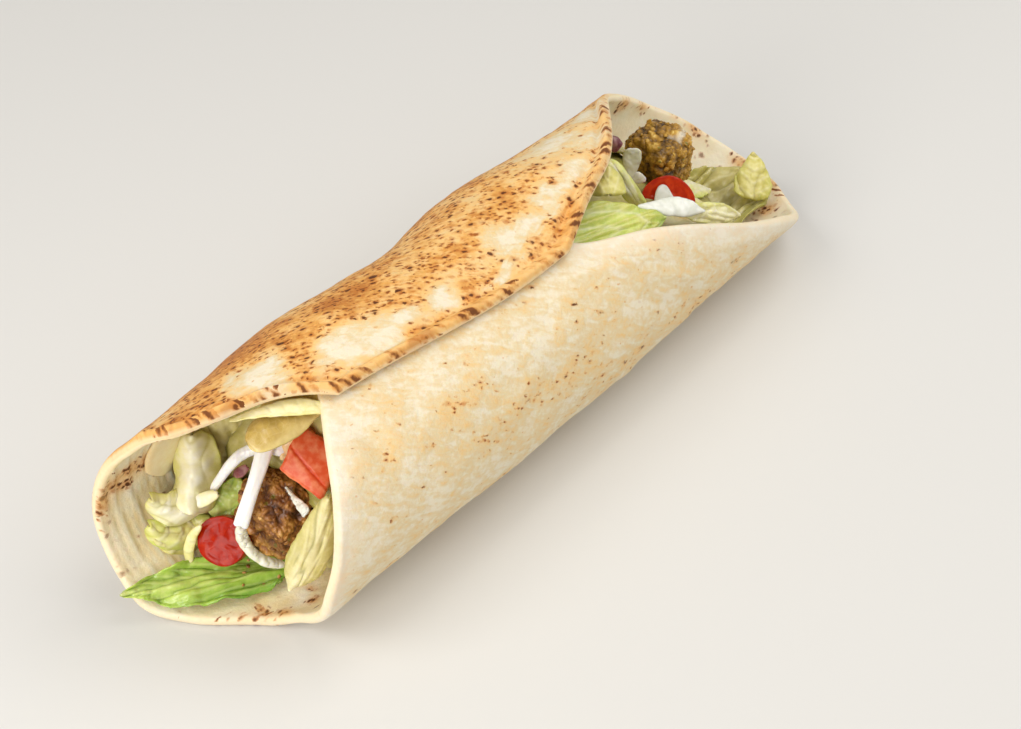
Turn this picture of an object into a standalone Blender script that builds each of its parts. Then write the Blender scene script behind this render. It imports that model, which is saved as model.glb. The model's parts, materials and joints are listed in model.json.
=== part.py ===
# A falafel wrap: one round flatbread rolled into an open tube round falafel, tomato and salad.
# Metres, +Z up. X runs along the roll: the near mouth is at -X, the long scooped mouth at +X.
# The pale panel faces -Y. The origin is on the ground, under the axis of the roll.
# Places on the roll are given as x, an angle and a depth below the outer face. The angle is 0 at
# the front, 90 underneath, 180 at the back and 270 on top, so it grows as the bread is rolled.

import math

import bmesh
import bpy
from mathutils import Matrix, Vector, noise

# Driving dimensions of the roll.
ROLL_RADIUS = 0.0386
ROLL_AXIS_HEIGHT = 0.0365
BREAD_THICKNESS = 0.0026
RIM_THICKNESS = 0.0032
FIRST_ANGLE = -100.0
LAST_ANGLE = 297.0

# The hidden edge dips under the flap, and the flap rises over it, each over some degrees.
UNDERLAP_DIP = 0.0019
UNDERLAP_END = -35.0
UNDERLAP_BLEND = 30.0
OVERLAP_RISE = 0.0019
OVERLAP_START = 215.0
OVERLAP_BLEND = 45.0

# The seam runs askew: the flap's edge falls back by these degrees towards the near mouth.
SEAM_SKEW = 8.0
SKEW_START = 230.0
SKEW_END_X = 0.025
SKEW_RUN = 0.1

# The far end leaves the straight roll: it lifts off the ground and drifts towards the front.
SCOOP_START = 0.092
SCOOP_RUN = 0.062
SCOOP_LIFT = 0.0115
SCOOP_DRIFT = 0.006

# Where the round edge of the bread crosses each angle of the roll, as (degrees, x).
NEAR_EDGE = ((-100, -0.060), (-72, -0.072), (-46, -0.083), (-15, -0.093), (10, -0.099),
             (54, -0.098), (72, -0.103), (100, -0.118), (126, -0.1245), (165, -0.122),
             (200, -0.117), (254, -0.110), (270, -0.098), (281, -0.084), (297, -0.064))
FAR_EDGE = ((-100, 0.010), (-62, 0.029), (-43, 0.057), (-14, 0.091), (15, 0.120),
            (48, 0.138), (84, 0.150), (109, 0.152), (139, 0.146), (178, 0.126),
            (214, 0.102), (250, 0.081), (277, 0.060), (288, 0.041), (297, 0.026))

# Swells and hollows of the roll, as (x, half length, degrees, half width in degrees, height).
SWELLS = ((-0.118, 0.030, 225, 45, -0.0035), (-0.055, 0.024, 215, 50, 0.0026),
          (-0.010, 0.014, 215, 50, -0.0012), (0.024, 0.022, 215, 50, 0.0024),
          (0.080, 0.020, 215, 45, -0.0010), (-0.085, 0.040, 40, 28, -0.0018),
          (0.022, 0.045, 40, 28, 0.0010))

# Fillings. A pocket is the room that the core leaves round a piece.
CORE_RADIUS = 0.0290
CORE_CRINKLE = 0.035
CORE_ROUGHNESS = 0.0022
CORE_END_TAPER = 2.6
FIT_GAP = 0.0004
FALAFEL_POCKET = 0.0012
LEAF_THICKNESS = 0.0009
SHRED_THICKNESS = 0.0012

# The core's ends. The near one leans back as it rises; the far one is a slope, steep on top.
NEAR_FACE_TOP = (-0.064, 0.067)
NEAR_FACE_LEAN = 0.30
NEAR_SWELL = 0.010
NEAR_SWELL_AT = (0.016, 0.028)
NEAR_SWELL_SPREAD = (0.014, 0.018)
FAR_FACE_FOOT = (0.122, 0.008)
FAR_FACE_LEAN = 1.05
FAR_FACE_STEEPER = 1.2
FAR_FACE_KNEE = 0.045
FAR_FACE_BACK = 0.006


def clear_scene():
    for thing in list(bpy.data.objects):
        bpy.data.objects.remove(thing, do_unlink=True)


def ease(t):
    t = min(max(t, 0.0), 1.0)
    return t * t * (3.0 - 2.0 * t)


def bell(t):
    return math.exp(-t * t)


def through(points, at):
    """A smooth curve through (position, value) pairs that never overshoots them."""
    xs, ys = zip(*points)
    if at <= xs[0]:
        return ys[0]
    if at >= xs[-1]:
        return ys[-1]
    slopes = [(ys[i + 1] - ys[i]) / (xs[i + 1] - xs[i]) for i in range(len(xs) - 1)]

    def tangent(i):
        if i == 0 or i == len(slopes):
            return slopes[min(i, len(slopes) - 1)]
        before, after = slopes[i - 1], slopes[i]
        if before * after <= 0:
            return 0.0
        return 2 * before * after / (before + after)

    i = max(k for k in range(len(slopes)) if xs[k] <= at)
    span = xs[i + 1] - xs[i]
    t = (at - xs[i]) / span
    rise = (2 * t**3 - 3 * t**2 + 1) * ys[i] + (3 * t**2 - 2 * t**3) * ys[i + 1]
    lean = (t**3 - 2 * t**2 + t) * tangent(i) + (t**3 - t**2) * tangent(i + 1)
    return rise + lean * span


def scoop(x):
    """How far the far end has left the straight roll, 0 to about 1."""
    return max((x - SCOOP_START) / SCOOP_RUN, 0.0) ** 2


def roll_point(x, angle, depth=0.0):
    """The point at this angle of the roll, this far below its outer face."""
    radius = ROLL_RADIUS - depth
    radius -= UNDERLAP_DIP * ease((UNDERLAP_END - angle) / UNDERLAP_BLEND)
    radius += OVERLAP_RISE * ease((angle - OVERLAP_START) / OVERLAP_BLEND)
    for middle, half_length, facing, spread, height in SWELLS:
        radius += height * bell((x - middle) / half_length) * bell((angle - facing) / spread)
    turn = math.radians(angle)
    y = -radius * math.cos(turn) - SCOOP_DRIFT * scoop(x)
    z = max(ROLL_AXIS_HEIGHT - radius * math.sin(turn), 0.0) + SCOOP_LIFT * scoop(x)
    return Vector((x, y, z))


def make_material(name, colour, roughness):
    material = bpy.data.materials.new(name)
    material.use_nodes = True
    shader = material.node_tree.nodes["Principled BSDF"]
    shader.inputs["Base Color"].default_value = (*colour, 1.0)
    shader.inputs["Roughness"].default_value = roughness
    shader.inputs["Metallic"].default_value = 0.0
    material.diffuse_color = (*colour, 1.0)
    return material


def add_object(name, bm, collection, colour, roughness):
    """Turns a bmesh into one smooth-shaded piece with its own material."""
    mesh = bpy.data.meshes.new(name)
    bm.to_mesh(mesh)
    bm.free()
    mesh.shade_smooth()
    mesh.materials.append(make_material(name, colour, roughness))
    piece = bpy.data.objects.new(name, mesh)
    collection.objects.link(piece)
    return piece


def grid_sheet(across, along, place):
    """An open sheet of triangles whose point (u, v), each 0 to 1, lies at place(u, v)."""
    bm = bmesh.new()
    bmesh.ops.create_grid(bm, x_segments=along, y_segments=across, size=1.0)
    for vertex in bm.verts:
        u, v = (vertex.co.x + 1) / 2, (vertex.co.y + 1) / 2
        vertex.co = place(u, v)
    bmesh.ops.triangulate(bm, faces=bm.faces)
    return bm


def add_wall(piece, thickness, offset):
    """Gives an open sheet its thickness."""
    wall = piece.modifiers.new("Thickness", "SOLIDIFY")
    wall.thickness = thickness
    wall.offset = offset
    wall.use_even_offset = True
    return wall


def flatbread(collection):
    """The rolled flatbread: a round sheet, thicker along its edge, with one open overlap."""
    rows, columns = 36, 32

    def place(u, v):
        nominal = FIRST_ANGLE + v * (LAST_ANGLE - FIRST_ANGLE)
        near, far = through(NEAR_EDGE, nominal), through(FAR_EDGE, nominal)
        x = near + u * (far - near)
        turned = ease((nominal - SKEW_START) / (LAST_ANGLE - SKEW_START))
        return roll_point(x, nominal - SEAM_SKEW * turned * ease((SKEW_END_X - x) / SKEW_RUN))

    bm = grid_sheet(rows, columns, place)
    rim = [vertex.index for vertex in bm.verts if vertex.is_boundary]
    piece = add_object("flatbread", bm, collection, (0.78, 0.62, 0.38), 0.75)
    thick = piece.vertex_groups.new(name="rim")
    thick.add(rim, 1.0, "REPLACE")
    wall = add_wall(piece, RIM_THICKNESS, 1.0)
    wall.vertex_group = "rim"
    wall.thickness_vertex_group = BREAD_THICKNESS / RIM_THICKNESS
    return piece


def bend(points, t):
    """A point on the quadratic curve with these three control points."""
    a, b, c = (Vector(point) for point in points)
    return (1 - t) ** 2 * a + 2 * t * (1 - t) * b + t**2 * c


def heading(points, t, step=0.01):
    """The way the curve runs at t."""
    return bend(points, min(t + step, 1.0)) - bend(points, max(t - step, 0.0))


def leaf_profile(widths, ruffle, waves, u, across):
    """A leaf's half width at u, and how far its ruffled edge stands off its spine there."""
    half = through(((0.0, widths[0]), (0.5, widths[1]), (1.0, widths[2])), u)
    lift = ruffle * across**2 * math.sin(waves * 2 * math.pi * u + 2 * across)
    return half, lift


def wall_leaf(name, collection, colour, spine, widths, ruffle=0.0008, waves=2.0, counts=(5, 10)):
    """A leaf that lies along the inside of the roll. Its spine is three (x, degrees, depth)."""
    flat = [(x, math.radians(angle) * ROLL_RADIUS, depth) for x, angle, depth in spine]

    def place(u, v):
        ahead, across = heading(flat, u), 2 * v - 1
        side = Vector((-ahead.y, ahead.x, 0.0)).normalized()
        half, lift = leaf_profile(widths, ruffle, waves, u, across)
        point = bend(flat, u) + side * half * across
        return roll_point(point.x, math.degrees(point.y / ROLL_RADIUS), point.z + lift)

    piece = add_object(name, grid_sheet(*counts, place), collection, colour, 0.45)
    add_wall(piece, LEAF_THICKNESS, 0.0)
    return piece


def free_leaf(name, collection, colour, spine, facing, widths, ruffle=0.0008, waves=2.0,
              thickness=LEAF_THICKNESS, counts=(5, 10)):
    """A leaf or shred clear of the bread, on a spine of three points. Its flat side looks to facing."""

    def place(u, v):
        across, ahead = 2 * v - 1, heading(spine, u)
        side = ahead.cross(Vector(facing)).normalized()
        out = side.cross(ahead).normalized()
        half, lift = leaf_profile(widths, ruffle, waves, u, across)
        return bend(spine, u) + side * half * across + out * lift

    piece = add_object(name, grid_sheet(*counts, place), collection, colour, 0.45)
    add_wall(piece, thickness, 0.0)
    return piece


def falafel_mesh(centre, half_sizes, boxiness, seed, crag, fineness=4, grown=0.0):
    """A fried chickpea ball with a craggy crust. Grown adds to its radius, for the hole it needs."""
    bm = bmesh.new()
    bmesh.ops.create_icosphere(bm, subdivisions=fineness, radius=1.0)
    shift = Vector((7.3, 3.1, 5.7)) * seed
    for vertex in bm.verts:
        out = vertex.co.normalized()
        square = sum(abs(axis) ** boxiness for axis in out) ** (-1 / boxiness)
        lumps = noise.noise(out * 1.7 + shift) + 0.6 * noise.noise(out * 4.1 + shift)
        reach = square * (1 + crag * lumps)
        body = Vector(out[i] * half_sizes[i] * reach for i in range(3))
        vertex.co = Vector(centre) + body + out * grown
    return bm


def falafel(name, collection, cutters, centre, half_sizes, boxiness, seed, crag):
    bm = falafel_mesh(centre, half_sizes, boxiness, seed, crag)
    add_object(name, bm, collection, (0.30, 0.15, 0.045), 0.8)
    bm = falafel_mesh(centre, half_sizes, boxiness, seed, crag, 3, FALAFEL_POCKET)
    add_cutter(name + "_pocket", bm, cutters)


def add_cutter(name, bm, cutters):
    mesh = bpy.data.meshes.new(name)
    bm.to_mesh(mesh)
    bm.free()
    cutter = bpy.data.objects.new(name, mesh)
    cutter.hide_render = True
    cutter.display_type = "WIRE"
    cutters.objects.link(cutter)
    return cutter


def tomato_slice_mesh(centre, radius, thickness, tilt, grown=0.0):
    """A round slice with a bulging skin. Its axis is +Z turned by tilt, in degrees about X then Z."""
    bm = bmesh.new()
    bmesh.ops.create_uvsphere(bm, u_segments=16, v_segments=8, radius=1.0)
    turn = Matrix.Rotation(math.radians(tilt[1]), 4, "Z") @ Matrix.Rotation(math.radians(tilt[0]), 4, "X")
    for vertex in bm.verts:
        level = max(-1.0, min(1.0, vertex.co.z * 1.6))
        reach = math.hypot(vertex.co.x, vertex.co.y)
        flat = min(1.0, reach * 1.15) / reach if reach > 1e-6 else 0.0
        local = Vector((vertex.co.x * flat * (radius + grown), vertex.co.y * flat * (radius + grown),
                        level * (thickness / 2 + grown)))
        vertex.co = Vector(centre) + turn @ local
    return bm


def tomato_slice(name, collection, cutters, centre, radius, thickness, tilt):
    bm = tomato_slice_mesh(centre, radius, thickness, tilt)
    add_object(name, bm, collection, (0.62, 0.06, 0.03), 0.25)
    add_cutter(name + "_pocket", tomato_slice_mesh(centre, radius, thickness, tilt, FIT_GAP), cutters)


def tomato_chunk_mesh(centre, sides, turn, skin_bulge, grown=0.0):
    """A diced chunk of tomato with one rounded skin face, on -Y before it is turned."""
    bm = bmesh.new()
    bmesh.ops.create_cube(bm, size=1.0)
    bmesh.ops.subdivide_edges(bm, edges=bm.edges, cuts=3, use_grid_fill=True)
    rotation = Matrix.Rotation(math.radians(turn[2]), 4, "Z")
    rotation = rotation @ Matrix.Rotation(math.radians(turn[1]), 4, "Y")
    rotation = rotation @ Matrix.Rotation(math.radians(turn[0]), 4, "X")
    for vertex in bm.verts:
        point = vertex.co.copy()
        bulge = skin_bulge * (1 - 4 * point.x**2) * (1 - 4 * point.z**2) * (0.5 - point.y)
        soft = 1 - 0.10 * sum(abs(2 * axis) ** 6 for axis in point) / 3
        local = Vector(point[i] * (sides[i] + 2 * grown) * soft for i in range(3))
        local.y -= bulge
        vertex.co = Vector(centre) + rotation @ local
    return bm


def tomato_chunk(name, collection, cutters, centre, sides, turn, skin_bulge):
    bm = tomato_chunk_mesh(centre, sides, turn, skin_bulge)
    add_object(name, bm, collection, (0.66, 0.07, 0.03), 0.25)
    bm = tomato_chunk_mesh(centre, sides, turn, skin_bulge, FIT_GAP)
    add_cutter(name + "_pocket", bm, cutters)


def near_face(y, z):
    """Where the packed salad ends in the near mouth. It swells out low at the back."""
    swell = NEAR_SWELL
    for at, middle, spread in zip((y, z), NEAR_SWELL_AT, NEAR_SWELL_SPREAD):
        swell *= bell((at - middle) / spread)
    top_x, top_z = NEAR_FACE_TOP
    return top_x - NEAR_FACE_LEAN * (top_z - z) - swell


def far_face(y, z):
    """Where the packed salad ends in the scooped mouth: a slope, fuller at the back, steep on top."""
    foot_x, foot_z = FAR_FACE_FOOT
    slope = foot_x - FAR_FACE_LEAN * (z - foot_z) - FAR_FACE_STEEPER * max(z - FAR_FACE_KNEE, 0.0)
    return slope + FAR_FACE_BACK * ease((y + 0.005) / 0.015)


def salad_core(collection, cutters):
    """The packed lettuce that fills the roll from mouth to mouth, with hollows for what sits in it."""
    bm = bmesh.new()
    bmesh.ops.create_uvsphere(bm, u_segments=24, v_segments=26, radius=1.0)
    for vertex in bm.verts:
        along = math.acos(max(-1.0, min(1.0, -vertex.co.z))) / math.pi
        turn = math.atan2(vertex.co.y, vertex.co.x)
        fill = min(1.0, math.sin(along * math.pi) * CORE_END_TAPER)
        crinkle = noise.noise(Vector((along * 9, math.cos(turn) * 2, math.sin(turn) * 2)))
        radius = CORE_RADIUS * fill * (2 - fill) * (1 + CORE_CRINKLE * crinkle)
        y, z = -radius * math.cos(turn), ROLL_AXIS_HEIGHT - radius * math.sin(turn)
        share = ease((along - 0.12) / 0.76)
        x = near_face(y, z) + share * (far_face(y, z) - near_face(y, z))
        x += CORE_ROUGHNESS * noise.noise(Vector((y, z, x)) * 110)
        vertex.co = Vector((x, y - SCOOP_DRIFT * scoop(x), z + SCOOP_LIFT * scoop(x)))
    core = add_object("salad_core", bm, collection, (0.55, 0.60, 0.22), 0.5)
    hollows = core.modifiers.new("Hollows", "BOOLEAN")
    hollows.operation = "DIFFERENCE"
    hollows.operand_type = "COLLECTION"
    hollows.collection = cutters
    hollows.solver = "EXACT"


def fillings(collection, cutters):
    falafel("falafel_near", collection, cutters, (-0.0805, 0.0040, 0.0215),
            (0.0115, 0.0120, 0.0150), 2.6, 1.0, 0.10)
    falafel("falafel_far", collection, cutters, (0.1012, 0.0068, 0.0440),
            (0.0094, 0.0096, 0.0102), 4.2, 2.0, 0.08)
    tomato_chunk("tomato_wedge_near", collection, cutters, (-0.0740, -0.0066, 0.0480),
                 (0.0150, 0.0080, 0.0145), (-53.0, 24.0, -76.0), 0.0010)
    tomato_slice("tomato_slice_near", collection, cutters, (-0.0990, 0.0116, 0.0188),
                 0.0074, 0.0055, (45.0, -60.0))
    tomato_slice("tomato_slice_far", collection, cutters, (0.0874, -0.0080, 0.0420),
                 0.0085, 0.0045, (42.0, -40.0))

    pale, green, yellow = (0.78, 0.80, 0.42), (0.30, 0.50, 0.08), (0.72, 0.68, 0.28)
    wall_leaf("lettuce_green_near", collection, green,
              ((-0.1290, 133, 0.0052), (-0.1080, 114, 0.0085), (-0.0860, 86, 0.0060)),
              (0.0010, 0.0095, 0.0060), waves=3.0, ruffle=0.0008)
    wall_leaf("lettuce_pale_near", collection, pale,
              ((-0.0740, 178, 0.0056), (-0.0860, 158, 0.0085), (-0.1110, 148, 0.0090)),
              (0.0120, 0.0190, 0.0090), waves=2.5, ruffle=0.0011)
    wall_leaf("lettuce_curl_near", collection, pale,
              ((-0.0560, 276, 0.0086), (-0.0740, 278, 0.0086), (-0.0900, 276, 0.0090)),
              (0.0100, 0.0125, 0.0060), waves=1.5, ruffle=0.0006)
    free_leaf("lettuce_side_near", collection, yellow,
              ((-0.0805, -0.0200, 0.0485), (-0.0834, -0.0231, 0.0392), (-0.0932, -0.0122, 0.0143)),
              (-0.68, -0.61, 0.11), (0.0035, 0.0050, 0.0030))
    wall_leaf("lettuce_front_far", collection, pale,
              ((0.0240, -68, 0.0055), (0.0480, -62, 0.0055), (0.0720, -44, 0.0050)),
              (0.0100, 0.0125, 0.0040), waves=2.0)
    free_leaf("lettuce_fold_far", collection, pale,
              ((0.0620, -0.0010, 0.0700), (0.0655, -0.0055, 0.0625), (0.0690, -0.0105, 0.0550)),
              (-0.68, -0.61, 0.11), (0.0020, 0.0050, 0.0030))
    wall_leaf("lettuce_bed_far", collection, yellow,
              ((0.1000, 102, 0.0060), (0.1250, 102, 0.0060), (0.1480, 102, 0.0066)),
              (0.0120, 0.0200, 0.0100), waves=3.0, ruffle=0.0006)
    free_leaf("lettuce_tip_far", collection, yellow,
              ((0.1385, -0.0035, 0.0210), (0.1415, -0.0115, 0.0160), (0.1320, -0.0190, 0.0140)),
              (-0.18, -0.20, 0.62), (0.0060, 0.0080, 0.0050))

    white = (0.86, 0.86, 0.80)
    shred = dict(ruffle=0.0, thickness=SHRED_THICKNESS, counts=(2, 8))
    free_leaf("cabbage_long_near", collection, white,
              ((-0.0810, 0.0085, 0.0460), (-0.0890, 0.0060, 0.0390), (-0.0955, 0.0025, 0.0300)),
              (-0.50, -0.47, 0.73), (0.0022, 0.0020, 0.0020), **shred)
    free_leaf("cabbage_low_near", collection, white,
              ((-0.0955, 0.0020, 0.0270), (-0.0980, -0.0040, 0.0220), (-0.0930, -0.0090, 0.0190)),
              (-0.50, -0.47, 0.73), (0.0018, 0.0020, 0.0015), **shred)
    free_leaf("cabbage_curved_near", collection, white,
              ((-0.0810, 0.0120, 0.0460), (-0.0850, 0.0220, 0.0375), (-0.0980, 0.0145, 0.0350)),
              (-0.50, -0.47, 0.73), (0.0018, 0.0020, 0.0026), **shred)
    free_leaf("onion_far", collection, white,
              ((0.0840, 0.0080, 0.0560), (0.0860, 0.0060, 0.0500), (0.0850, 0.0020, 0.0450)),
              (-0.68, -0.61, 0.11), (0.0012, 0.0035, 0.0015), **shred)


def build():
    clear_scene()
    parts = bpy.data.collections.new("falafel_wrap")
    cutters = bpy.data.collections.new("cutters")
    for group in (parts, cutters):
        bpy.context.scene.collection.children.link(group)
    flatbread(parts)
    fillings(parts, cutters)
    salad_core(parts, cutters)


build()
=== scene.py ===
# A falafel wrap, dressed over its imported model: toasted flatbread, falafel, tomato and lettuce.
# Units are metres. The roll lies along X, its pale panel faces -Y and its scooped mouth is at +X.

import json
import math

import bmesh
import bpy
import numpy as np
from mathutils import Matrix, Vector, kdtree, noise

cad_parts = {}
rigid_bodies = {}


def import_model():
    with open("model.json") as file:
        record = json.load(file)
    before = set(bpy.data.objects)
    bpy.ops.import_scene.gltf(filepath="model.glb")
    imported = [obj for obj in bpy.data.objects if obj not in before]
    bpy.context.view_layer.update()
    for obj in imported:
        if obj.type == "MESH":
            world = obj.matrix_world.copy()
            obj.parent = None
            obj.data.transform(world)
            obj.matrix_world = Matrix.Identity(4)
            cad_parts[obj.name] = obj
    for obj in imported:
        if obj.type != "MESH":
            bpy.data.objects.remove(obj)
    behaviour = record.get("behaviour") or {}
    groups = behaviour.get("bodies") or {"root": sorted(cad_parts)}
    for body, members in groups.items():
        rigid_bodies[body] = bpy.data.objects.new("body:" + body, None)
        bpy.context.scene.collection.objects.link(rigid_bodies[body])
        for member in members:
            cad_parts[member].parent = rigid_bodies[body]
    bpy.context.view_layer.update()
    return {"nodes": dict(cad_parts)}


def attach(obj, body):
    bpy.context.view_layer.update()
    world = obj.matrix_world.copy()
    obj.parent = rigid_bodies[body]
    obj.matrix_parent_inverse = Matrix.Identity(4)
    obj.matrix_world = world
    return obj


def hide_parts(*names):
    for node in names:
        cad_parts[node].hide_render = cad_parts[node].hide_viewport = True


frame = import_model()
print("frame loaded,", len(frame["nodes"]), "nodes")


# Helpers for numbers, meshes and nodes

def linearColour(hexText):                     # an sRGB hex value as linear colour
    parts = [int(hexText[i:i + 2], 16) / 255 for i in (1, 3, 5)]
    return tuple(p / 12.92 if p <= 0.04045 else ((p + 0.055) / 1.055) ** 2.4 for p in parts) + (1.0,)


def ease(t):
    t = np.clip(t, 0.0, 1.0)
    return t * t * (3 - 2 * t)


def bell(t):
    return np.exp(-t * t)


def through(points, at):                       # a smooth curve through pairs that never overshoots
    xs, ys = np.array(points, float).T
    slopes = np.diff(ys) / np.diff(xs)
    before, after = slopes[:-1], slopes[1:]
    whole = np.where(before + after == 0, 1, before + after)
    both = np.where(before * after > 0, 2 * before * after / whole, 0)
    tangents = np.concatenate([slopes[:1], both, slopes[-1:]])
    at = np.clip(at, xs[0], xs[-1])
    i = np.clip(np.searchsorted(xs, at, "right") - 1, 0, len(xs) - 2)
    span = xs[i + 1] - xs[i]
    t = (at - xs[i]) / span
    rise = (2 * t**3 - 3 * t**2 + 1) * ys[i] + (3 * t**2 - 2 * t**3) * ys[i + 1]
    lean = (t**3 - 2 * t**2 + t) * tangents[i] + (t**3 - t**2) * tangents[i + 1]
    return rise + lean * span


def curveThrough(stops, t):                    # a smooth curve through points, t from 0 to 1
    stops = np.array(stops, float)
    ends = np.vstack([2 * stops[0] - stops[1], stops, 2 * stops[-1] - stops[-2]])
    s = np.clip(t, 0, 1) * (len(stops) - 1)
    i = np.minimum(s.astype(int), len(stops) - 2)
    f = (s - i)[..., None]
    a, b, c, d = ends[i], ends[i + 1], ends[i + 2], ends[i + 3]
    return 0.5 * (2 * b + (c - a) * f + (2 * a - 5 * b + 4 * c - d) * f**2 + (3 * b - a - 3 * c + d) * f**3)


def noiseAt(points, size, seed=0.0, octaves=1):    # gradient noise about -1 to 1, lumps of this size
    flat = np.asarray(points, float).reshape(-1, 3) / size + seed * 17.3
    total = np.zeros(len(flat))
    for octave in range(octaves):
        scale = 2.0 ** octave
        total += np.array([noise.noise(Vector(p)) for p in flat * scale]) / scale
    return total.reshape(np.shape(points)[:-1])


def unit(vectors):
    return vectors / np.maximum(np.linalg.norm(vectors, axis=-1, keepdims=True), 1e-12)


def gridNormals(points):                       # along x columns crossed with rows
    return unit(np.cross(np.gradient(points, axis=0), np.gradient(points, axis=1)))


def gridFaces(rows, columns, flipped=False):
    index = np.arange(rows * columns).reshape(rows, columns)
    corners = [index[:-1, :-1], index[:-1, 1:], index[1:, 1:], index[1:, :-1]]
    if flipped:
        corners.reverse()
    return np.stack(corners, -1).reshape(-1, 4)


def closedSheet(outer, inner):                 # two grids with one shared border, and how to join values
    rows, columns = outer.shape[:2]
    border = np.ones((rows, columns), bool)
    border[1:-1, 1:-1] = False
    border = border.ravel()
    index = np.empty(rows * columns, int)
    index[border] = np.nonzero(border)[0]
    index[~border] = rows * columns + np.arange((~border).sum())

    def join(a, b):
        return np.concatenate([a.reshape(rows * columns, -1), b.reshape(rows * columns, -1)[~border]])

    faces = np.concatenate([gridFaces(rows, columns, True), index[gridFaces(rows, columns)]])
    return join(outer, inner), faces, join


def meshArrays(bm):                            # points and faces of a working mesh, which is then freed
    points = np.array([vertex.co for vertex in bm.verts])
    faces = [[vertex.index for vertex in face.verts] for face in bm.faces]
    bm.free()
    return points, faces


def newMesh(name, points, faces, material, values=None, maps=None):
    mesh = bpy.data.meshes.new(name)
    faces = faces.tolist() if isinstance(faces, np.ndarray) else faces
    mesh.from_pydata(np.asarray(points, float).reshape(-1, 3).tolist(), [], faces)
    for key, value in (values or {}).items():
        layer = mesh.attributes.new(key, "FLOAT", "POINT")
        layer.data.foreach_set("value", np.asarray(value, np.float32).ravel())
    corner = np.empty(len(mesh.loops), np.int32)
    mesh.loops.foreach_get("vertex_index", corner)
    for key, value in (maps or {}).items():
        layer = mesh.uv_layers.new(name=key)
        layer.data.foreach_set("uv", np.asarray(value, np.float32).reshape(-1, 2)[corner].ravel())
    mesh.shade_smooth()
    mesh.materials.append(material)
    return mesh


def addPiece(name, mesh):
    piece = bpy.data.objects.new(name, mesh)
    bpy.context.scene.collection.objects.link(piece)
    return piece


def settle(piece, slot, *nodes):               # the piece rides the roll and stands for these solids
    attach(piece, "root")
    if nodes:
        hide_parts(*nodes)
    print("made", piece.name, len(piece.data.polygons), "faces")
    return piece


def addNode(tree, kind, inputs=(), out=0, stops=(), **settings):    # a node, its links, and one output
    node = tree.nodes.new(kind)
    for key, value in settings.items():
        setattr(node, key, value)
    for key, value in dict(inputs).items():
        if isinstance(value, bpy.types.NodeSocket):
            tree.links.new(value, node.inputs[key])
        else:
            node.inputs[key].default_value = value
    for place, (position, colour) in enumerate(stops):
        elements = node.color_ramp.elements
        element = elements[place] if place < len(elements) else elements.new(1.0)
        element.position, element.color = position, linearColour(colour)
    return node.outputs[out]


def newMaterial(name, settings):
    material = bpy.data.materials.new(name)
    material.use_nodes = True
    shader = material.node_tree.nodes["Principled BSDF"]
    for key, value in settings.items():
        shader.inputs[key].default_value = value
    return material, material.node_tree, shader


def mottled(tree, value, patterns, low=0.3, high=0.7):    # a value that patterns move up and down
    for pattern, reach in patterns:
        shift = addNode(tree, "ShaderNodeMapRange", {"Value": pattern, "From Min": low, "From Max": high,
                        "To Min": -reach, "To Max": reach})
        value = addNode(tree, "ShaderNodeMath", {0: value, 1: shift}, operation="ADD")
    return value


def tinted(tree, base, tints):                 # colours laid over a base, each by a value and its strength
    for value, strength, colour in tints:
        share = addNode(tree, "ShaderNodeMath", {0: value, 1: strength}, operation="MULTIPLY")
        base = addNode(tree, "ShaderNodeMix", {
            0: share, 6: base, 7: linearColour(colour)}, 2, data_type="RGBA")
    return base


def spotted(tree, vector, perMetre):           # distance to the nearest of many spots, and its two chances
    found = addNode(tree, "ShaderNodeTexVoronoi", {"Vector": vector, "Scale": perMetre}, feature="F1")
    drawn = addNode(tree, "ShaderNodeSeparateColor", {0: found.node.outputs["Color"]})
    return found, drawn, drawn.node.outputs[1]


def scorched(tree, base, found, radius, shown, rings):    # marks over a base, from pale edge to dark heart
    ratio = addNode(tree, "ShaderNodeMath", {0: found, 1: radius}, operation="DIVIDE")
    for outer, inner, strength, colour in rings:
        ring = addNode(tree, "ShaderNodeMapRange", {"Value": ratio, "From Min": outer, "From Max": inner,
                       "To Max": strength}, interpolation_type="SMOOTHSTEP")
        base = tinted(tree, base, ((ring, shown, colour),))
    return base


# The roll: the same curve as the bread's outer face in the model. At its near mouth it stands
# about 2 mm further out, because the rim is rounded here and square there.

roll = {
    "radius": 0.0386, "axisHeight": 0.0365, "settle": 0.0008,
    "firstAngle": -100.0, "lastAngle": 300.5,
    # Step in the radius, the degrees where it lies, and the degrees over which it fades
    "underlap": (0.0019, -35.0, 30.0), "overlap": (0.0019, 215.0, 45.0),
    # The flap's edge turns back: degrees at the near mouth, where it starts, end x, run
    "skew": (13.0, 240.0, 0.010, 0.09),
    # The far mouth opens like a scoop: where it starts, run, lift and sideways drift
    "scoop": (0.092, 0.062, 0.0115, 0.006),
    # Edges of the two mouths, as degrees and x
    "nearEdge": ((-100, -.060), (-72, -.072), (-46, -.083), (-15, -.093), (10, -.099),
                 (54, -.098), (72, -.103), (100, -.118), (126, -.1255), (165, -.1238),
                 (200, -.1190), (254, -.1075), (270, -.0945), (281, -.0815), (300.5, -.066)),
    "farEdge": ((-100, .010), (-62, .029), (-43, .057), (-14, .091), (15, .120),
                (48, .138), (84, .150), (109, .152), (139, .146), (178, .126),
                (214, .102), (250, .081), (277, .060), (288, .041), (300.5, .023)),
    # x, half length, degrees, half width in degrees, height
    "swells": ((-.118, .030, 225, 45, -.0012), (-.055, .024, 215, 50, .0026),
               (-.010, .014, 215, 50, -.0012), (.024, .022, 215, 50, .0024),
               (.080, .020, 215, 45, -.0010), (-.085, .040, 40, 28, -.0018),
               (.022, .045, 40, 28, .0010)),
}


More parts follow.
